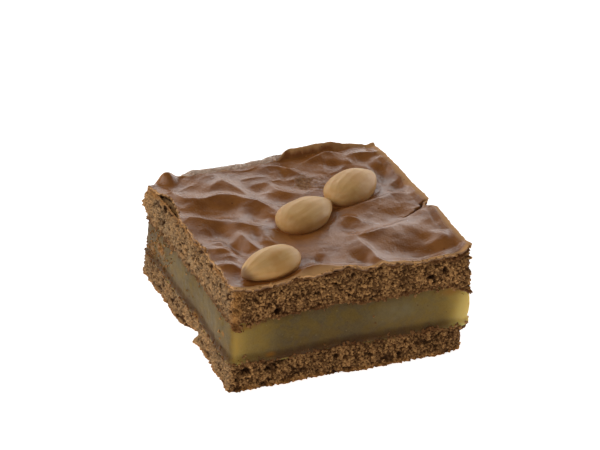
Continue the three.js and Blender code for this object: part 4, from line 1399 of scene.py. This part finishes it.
def make_bottom_crumb():
    def relief(points, outward, z, share):
        flare = sum(BASE_OUT[side] * facing(side, outward) for side in SIDES)
        return flare * (1 - 0.8 * share) - lost_crumb(points, outward, z)

    def soaked(points, outward, z, share):
        return 0.7 * (1 - smoothstep(paste_floor(*points.T) - z, 0.0, 1.4))

    def golden(points, outward, z, share):
        return 0.8 * (1 - smoothstep(z + 0.7 * wander(points, z, 1.6), 0.3, 1.8))

    def high(x, y):
        return paste_floor(x, y) + 0.1 + torn_edge((x, y), 5.0)

    def sown(points, outward, z, share):
        return np.where((z > 0.3) & (share < 1), 1.0, 0.0)

    marks = {
        "hollow": hollow,
        "hold": all_over,
        "cover": sown,
        "soaked": soaked,
        "painted_left_light": painted_left_light,
        "golden": golden,
    }
    piece = make_wall("bottom_crumb", WALL_SPACING, lambda x, y: np.zeros(np.shape(x)), high, relief, marks)
    piece.data = grown(piece, RELIEF, {"Seed": 2.0, "Material": MATERIAL["crumb"]})
    return piece


def make_paste():
    def relief(points, outward, z, share):
        x, y = points.T
        bulge = PASTE_BULGE * (math.sin(math.pi * share) - 0.7)
        spread = 0.95 * (1 - smoothstep(share, 0.04, 0.22))
        ripple = 0.2 * noise(x / 5, z / 5, y / 5) + 0.1 * noise(x / 1.2, y / 1.2, z / 1.2)
        return bulge + spread + ripple - 0.2

    # Darker next to the roof and the floor, darker towards the floor over the lower part, and on the left
    # side towards the back; none where the ends carry the painted glow
    def soaked(points, outward, z, share):
        x, y = points.T
        uneven = 0.5 * wander(points, z, 2.5)
        under_roof = 1 - smoothstep(paste_roof(x, y) - z + uneven, 0.2, 2.2)
        over_floor = 1 - smoothstep(z - paste_floor(x, y) + uneven, 0.6, 3.4)
        gradient = 1 - smoothstep(z - paste_floor(x, y) + uneven, 1.0, 8.5)
        dark = np.maximum(0.3 * under_roof, 0.5 * over_floor + 0.25 * gradient)
        dark = np.maximum(dark, 0.4 * smoothstep(y + 5 * uneven, 10, 26) * facing("left", outward))
        return dark * (1 - end(points, outward, z, share))

    def stain(points, outward, z, share):
        return np.clip(side_spots(STAINS, points, outward, z), 0, 1)

    # Painted glow: brighter at both ends of the front and over the whole right side, where light shines
    # through the paste
    def end(points, outward, z, share):
        x = points[:, 0]
        right_end = 0.2 * smoothstep(x, 0, 34) + 0.7 * smoothstep(x, 29, 38)
        left_end = 0.35 * smoothstep(-x, 20, 31) + 0.45 * smoothstep(-x, 30, 37)
        return np.maximum(right_end, left_end) * facing("front", outward) + 0.9 * facing("right", outward)

    def milky(points, outward, z, share):
        spot = side_spots([("front", 14, 17.0, 12, 5.0, 0.6)], points, outward, z)
        return np.clip(spot * (1 + 0.5 * wander(points, z, 2.0)), 0, 1)

    def cover(points, outward, z, share):
        y = points[:, 1]
        smeared = smoothstep(y, 10, 24) * facing("left", outward) * 0.6
        under_roof = np.exp(-np.maximum(0, paste_roof(*points.T) - z) / 0.7)
        over_floor = np.exp(-np.maximum(0, z - paste_floor(*points.T)) / 0.6)
        return smeared + 0.01 + 0.8 * np.maximum(under_roof, over_floor)

    # Painted glow: pale yellow on the front and right faces at the right end, reaching further in low down,
    # where light shines through the paste
    def pale(points, outward, z, share):
        above = z - paste_floor(*points.T)
        end_share = smoothstep(points[:, 0] - 0.25 * above, 31, 37)
        return 0.75 * end_share * np.maximum(facing("front", outward), facing("right", outward))

    marks = {"soaked": soaked, "stain": stain, "end": end, "milky": milky, "pale": pale, "cover": cover}

    def low(x, y):
        return paste_floor(x, y) - LAYER_LAP

    def high(x, y):
        return paste_roof(x, y) + LAYER_LAP

    name = "almond_paste_filling"
    piece = make_wall(name, PASTE_SPACING, low, high, relief, marks, radius=PASTE_CORNER_RADIUS)
    piece.data.materials.append(MATERIAL["paste"])
    return piece


def make_almond(almond):
    around = 72
    tip_share = ALMOND_TIP_SHARE[almond[0]]
    along_count = 56
    local = almond_points(almond, around, along_count)
    rings = along_count - 1
    angle = np.arctan2(local[:, 2], local[:, 1])
    along = local[:, 0] / almond[3]
    ridges = 0.07 * np.sin(11 * angle + 2.0 * noise(along * 2, angle, almond[2])) * (1 - along**4)
    lumps = 0.22 * noise(local[:, 0] / 4.5, local[:, 1] / 4.5 + almond[2], local[:, 2] / 4.5)
    outward = local / np.array([almond[3], almond[4], ALMOND_HALF_THICKNESS]) ** 2
    outward /= np.linalg.norm(outward, axis=1)[:, None]
    shaped = local + outward * (ridges + lumps)[:, None]
    grid = np.arange(rings * around).reshape(rings, around)
    faces = []
    for ring in range(rings - 1):
        faces += band_faces(grid[ring + 1], grid[ring])
    blunt, tip = rings * around, rings * around + 1
    faces += fan_faces(grid[0], blunt, True)
    faces += fan_faces(grid[-1], tip, False)
    piece = make_piece(f"{almond[0]}_nut", lay_almond(almond, shaped), faces)
    give(piece, "local", local + almond[2])
    give(piece, "tip", tip_share * smoothstep(along + 0.1 * wander(local, local[:, 2], 1.5), 0.7, 0.97))
    piece.data.materials.append(MATERIAL["almond"])
    return piece


def make_grains(sources):
    """Loose grains on the crumb's sides, over the paste and at the crust's edge, as one piece."""
    joined = None
    for seed, (label, source) in enumerate(sources.items(), start=3):
        density = GRAINS_PER_SQUARE_MM[label]
        values = {"Grains per square mm": density, "Seed": seed, "Material": MATERIAL["crumb"]}
        mesh = grown(source, SOWN_GRAINS, values)
        part = bpy.data.objects.new("crumb_grains", mesh)
        bpy.context.scene.collection.objects.link(part)
        if joined is None:
            joined = part
        else:
            with bpy.context.temp_override(active_object=joined, selected_editable_objects=[joined, part]):
                bpy.ops.object.join()
    joined.name = "crumb_grains"
    return joined


def keep_with(piece, slot, *nodes):
    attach(piece, "root")
    if nodes:
        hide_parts(*nodes)


crust = make_crust()
top_crumb = make_top_crumb()
paste = make_paste()
bottom_crumb = make_bottom_crumb()
nuts = [make_almond(almond) for almond in ALMONDS]
grains = make_grains({"top_crumb": top_crumb, "bottom_crumb": bottom_crumb, "paste": paste, "crust": crust})

keep_with(crust, "crust", "top_layer")
keep_with(top_crumb, "crumb", "top_layer")
keep_with(paste, "paste", "almond_paste")
keep_with(bottom_crumb, "crumb", "bottom_layer")
for almond, nut in zip(ALMONDS, nuts):
    keep_with(nut, "almond", almond[0])
keep_with(grains, "crumb")


# Floor, light and camera
def make_floor():
    material, _, shader = new_material("white_floor")
    shader.inputs["Base Color"].default_value = (0.9, 0.9, 0.9, 1)
    shader.inputs["Roughness"].default_value = 0.7
    shader.inputs["Emission Color"].default_value = (1, 1, 1, 1)
    shader.inputs["Emission Strength"].default_value = 0.85
    half, height = 2.0, -0.0002
    mesh = bpy.data.meshes.new("floor")
    corners = [(half * sx, half * sy, height) for sx, sy in ((-1, -1), (1, -1), (1, 1), (-1, 1))]
    mesh.from_pydata(corners, [], [(0, 1, 2, 3)])
    mesh.materials.append(material)
    floor = bpy.data.objects.new("floor", mesh)
    bpy.context.scene.collection.objects.link(floor)


def soft_light(name, place, size, power):
    """An area light, in metres and watts, turned to the middle of the piece."""
    middle = Vector((0, 0, 0.02))
    lamp = bpy.data.lights.new(name, "AREA")
    lamp.shape = "RECTANGLE"
    lamp.size, lamp.size_y = size
    lamp.energy = power
    light = bpy.data.objects.new(name, lamp)
    light.location = place
    light.rotation_euler = (middle - Vector(place)).to_track_quat("-Z", "Y").to_euler()
    light.visible_camera = False
    bpy.context.scene.collection.objects.link(light)


def make_lights():
    world = bpy.data.worlds.new("pale_room")
    world.use_nodes = True
    background = world.node_tree.nodes["Background"]
    background.inputs["Color"].default_value = (1.0, 1.0, 1.0, 1)
    background.inputs["Strength"].default_value = 0.04
    bpy.context.scene.world = world
    soft_light("back_light", (0.2, 0.9, 0.2), (1.9, 0.4), 4.2)
    soft_light("upper_back_light", (0.2, 0.82, 0.52), (1.9, 0.55), 2.8)
    soft_light("left_light", (-0.75, 0.1, 0.55), (0.9, 0.4), 3.2)
    soft_light("right_light", (0.9, 0.2, 0.25), (1.0, 0.5), 4)
    soft_light("front_fill", (-0.5, -0.45, 0.85), (0.8, 0.8), 1.8)


def make_camera():
    azimuth, elevation, roll = (math.radians(angle) for angle in (-24.0, 29.7, -3.0))
    distance, focal, image_width = 930.0, 3070.0, 600
    aside, aloft = 1.1, -11.3
    target = Vector((0, 0, 16.5))
    level = Vector((math.sin(azimuth), -math.cos(azimuth), 0))
    back = level * math.cos(elevation) + Vector((0, 0, math.sin(elevation)))
    right = Vector((math.cos(azimuth), math.sin(azimuth), 0))
    up = back.cross(right)
    turned_right = right * math.cos(roll) - up * math.sin(roll)
    turned_up = right * math.sin(roll) + up * math.cos(roll)
    place = target - turned_right * aside - turned_up * aloft + back * distance + Vector(FRAME_SHIFT)
    lens = bpy.data.cameras.new("camera")
    lens.sensor_width = 36
    lens.lens = lens.sensor_width * focal / image_width
    lens.clip_end = 10
    camera = bpy.data.objects.new("camera", lens)
    turn = Matrix((turned_right, turned_up, back)).transposed()
    camera.matrix_world = Matrix.Translation(place * MM) @ turn.to_4x4()
    bpy.context.scene.collection.objects.link(camera)
    bpy.context.scene.camera = camera


make_floor()
make_lights()
make_camera()
bpy.context.scene.view_settings.view_transform = "Standard"
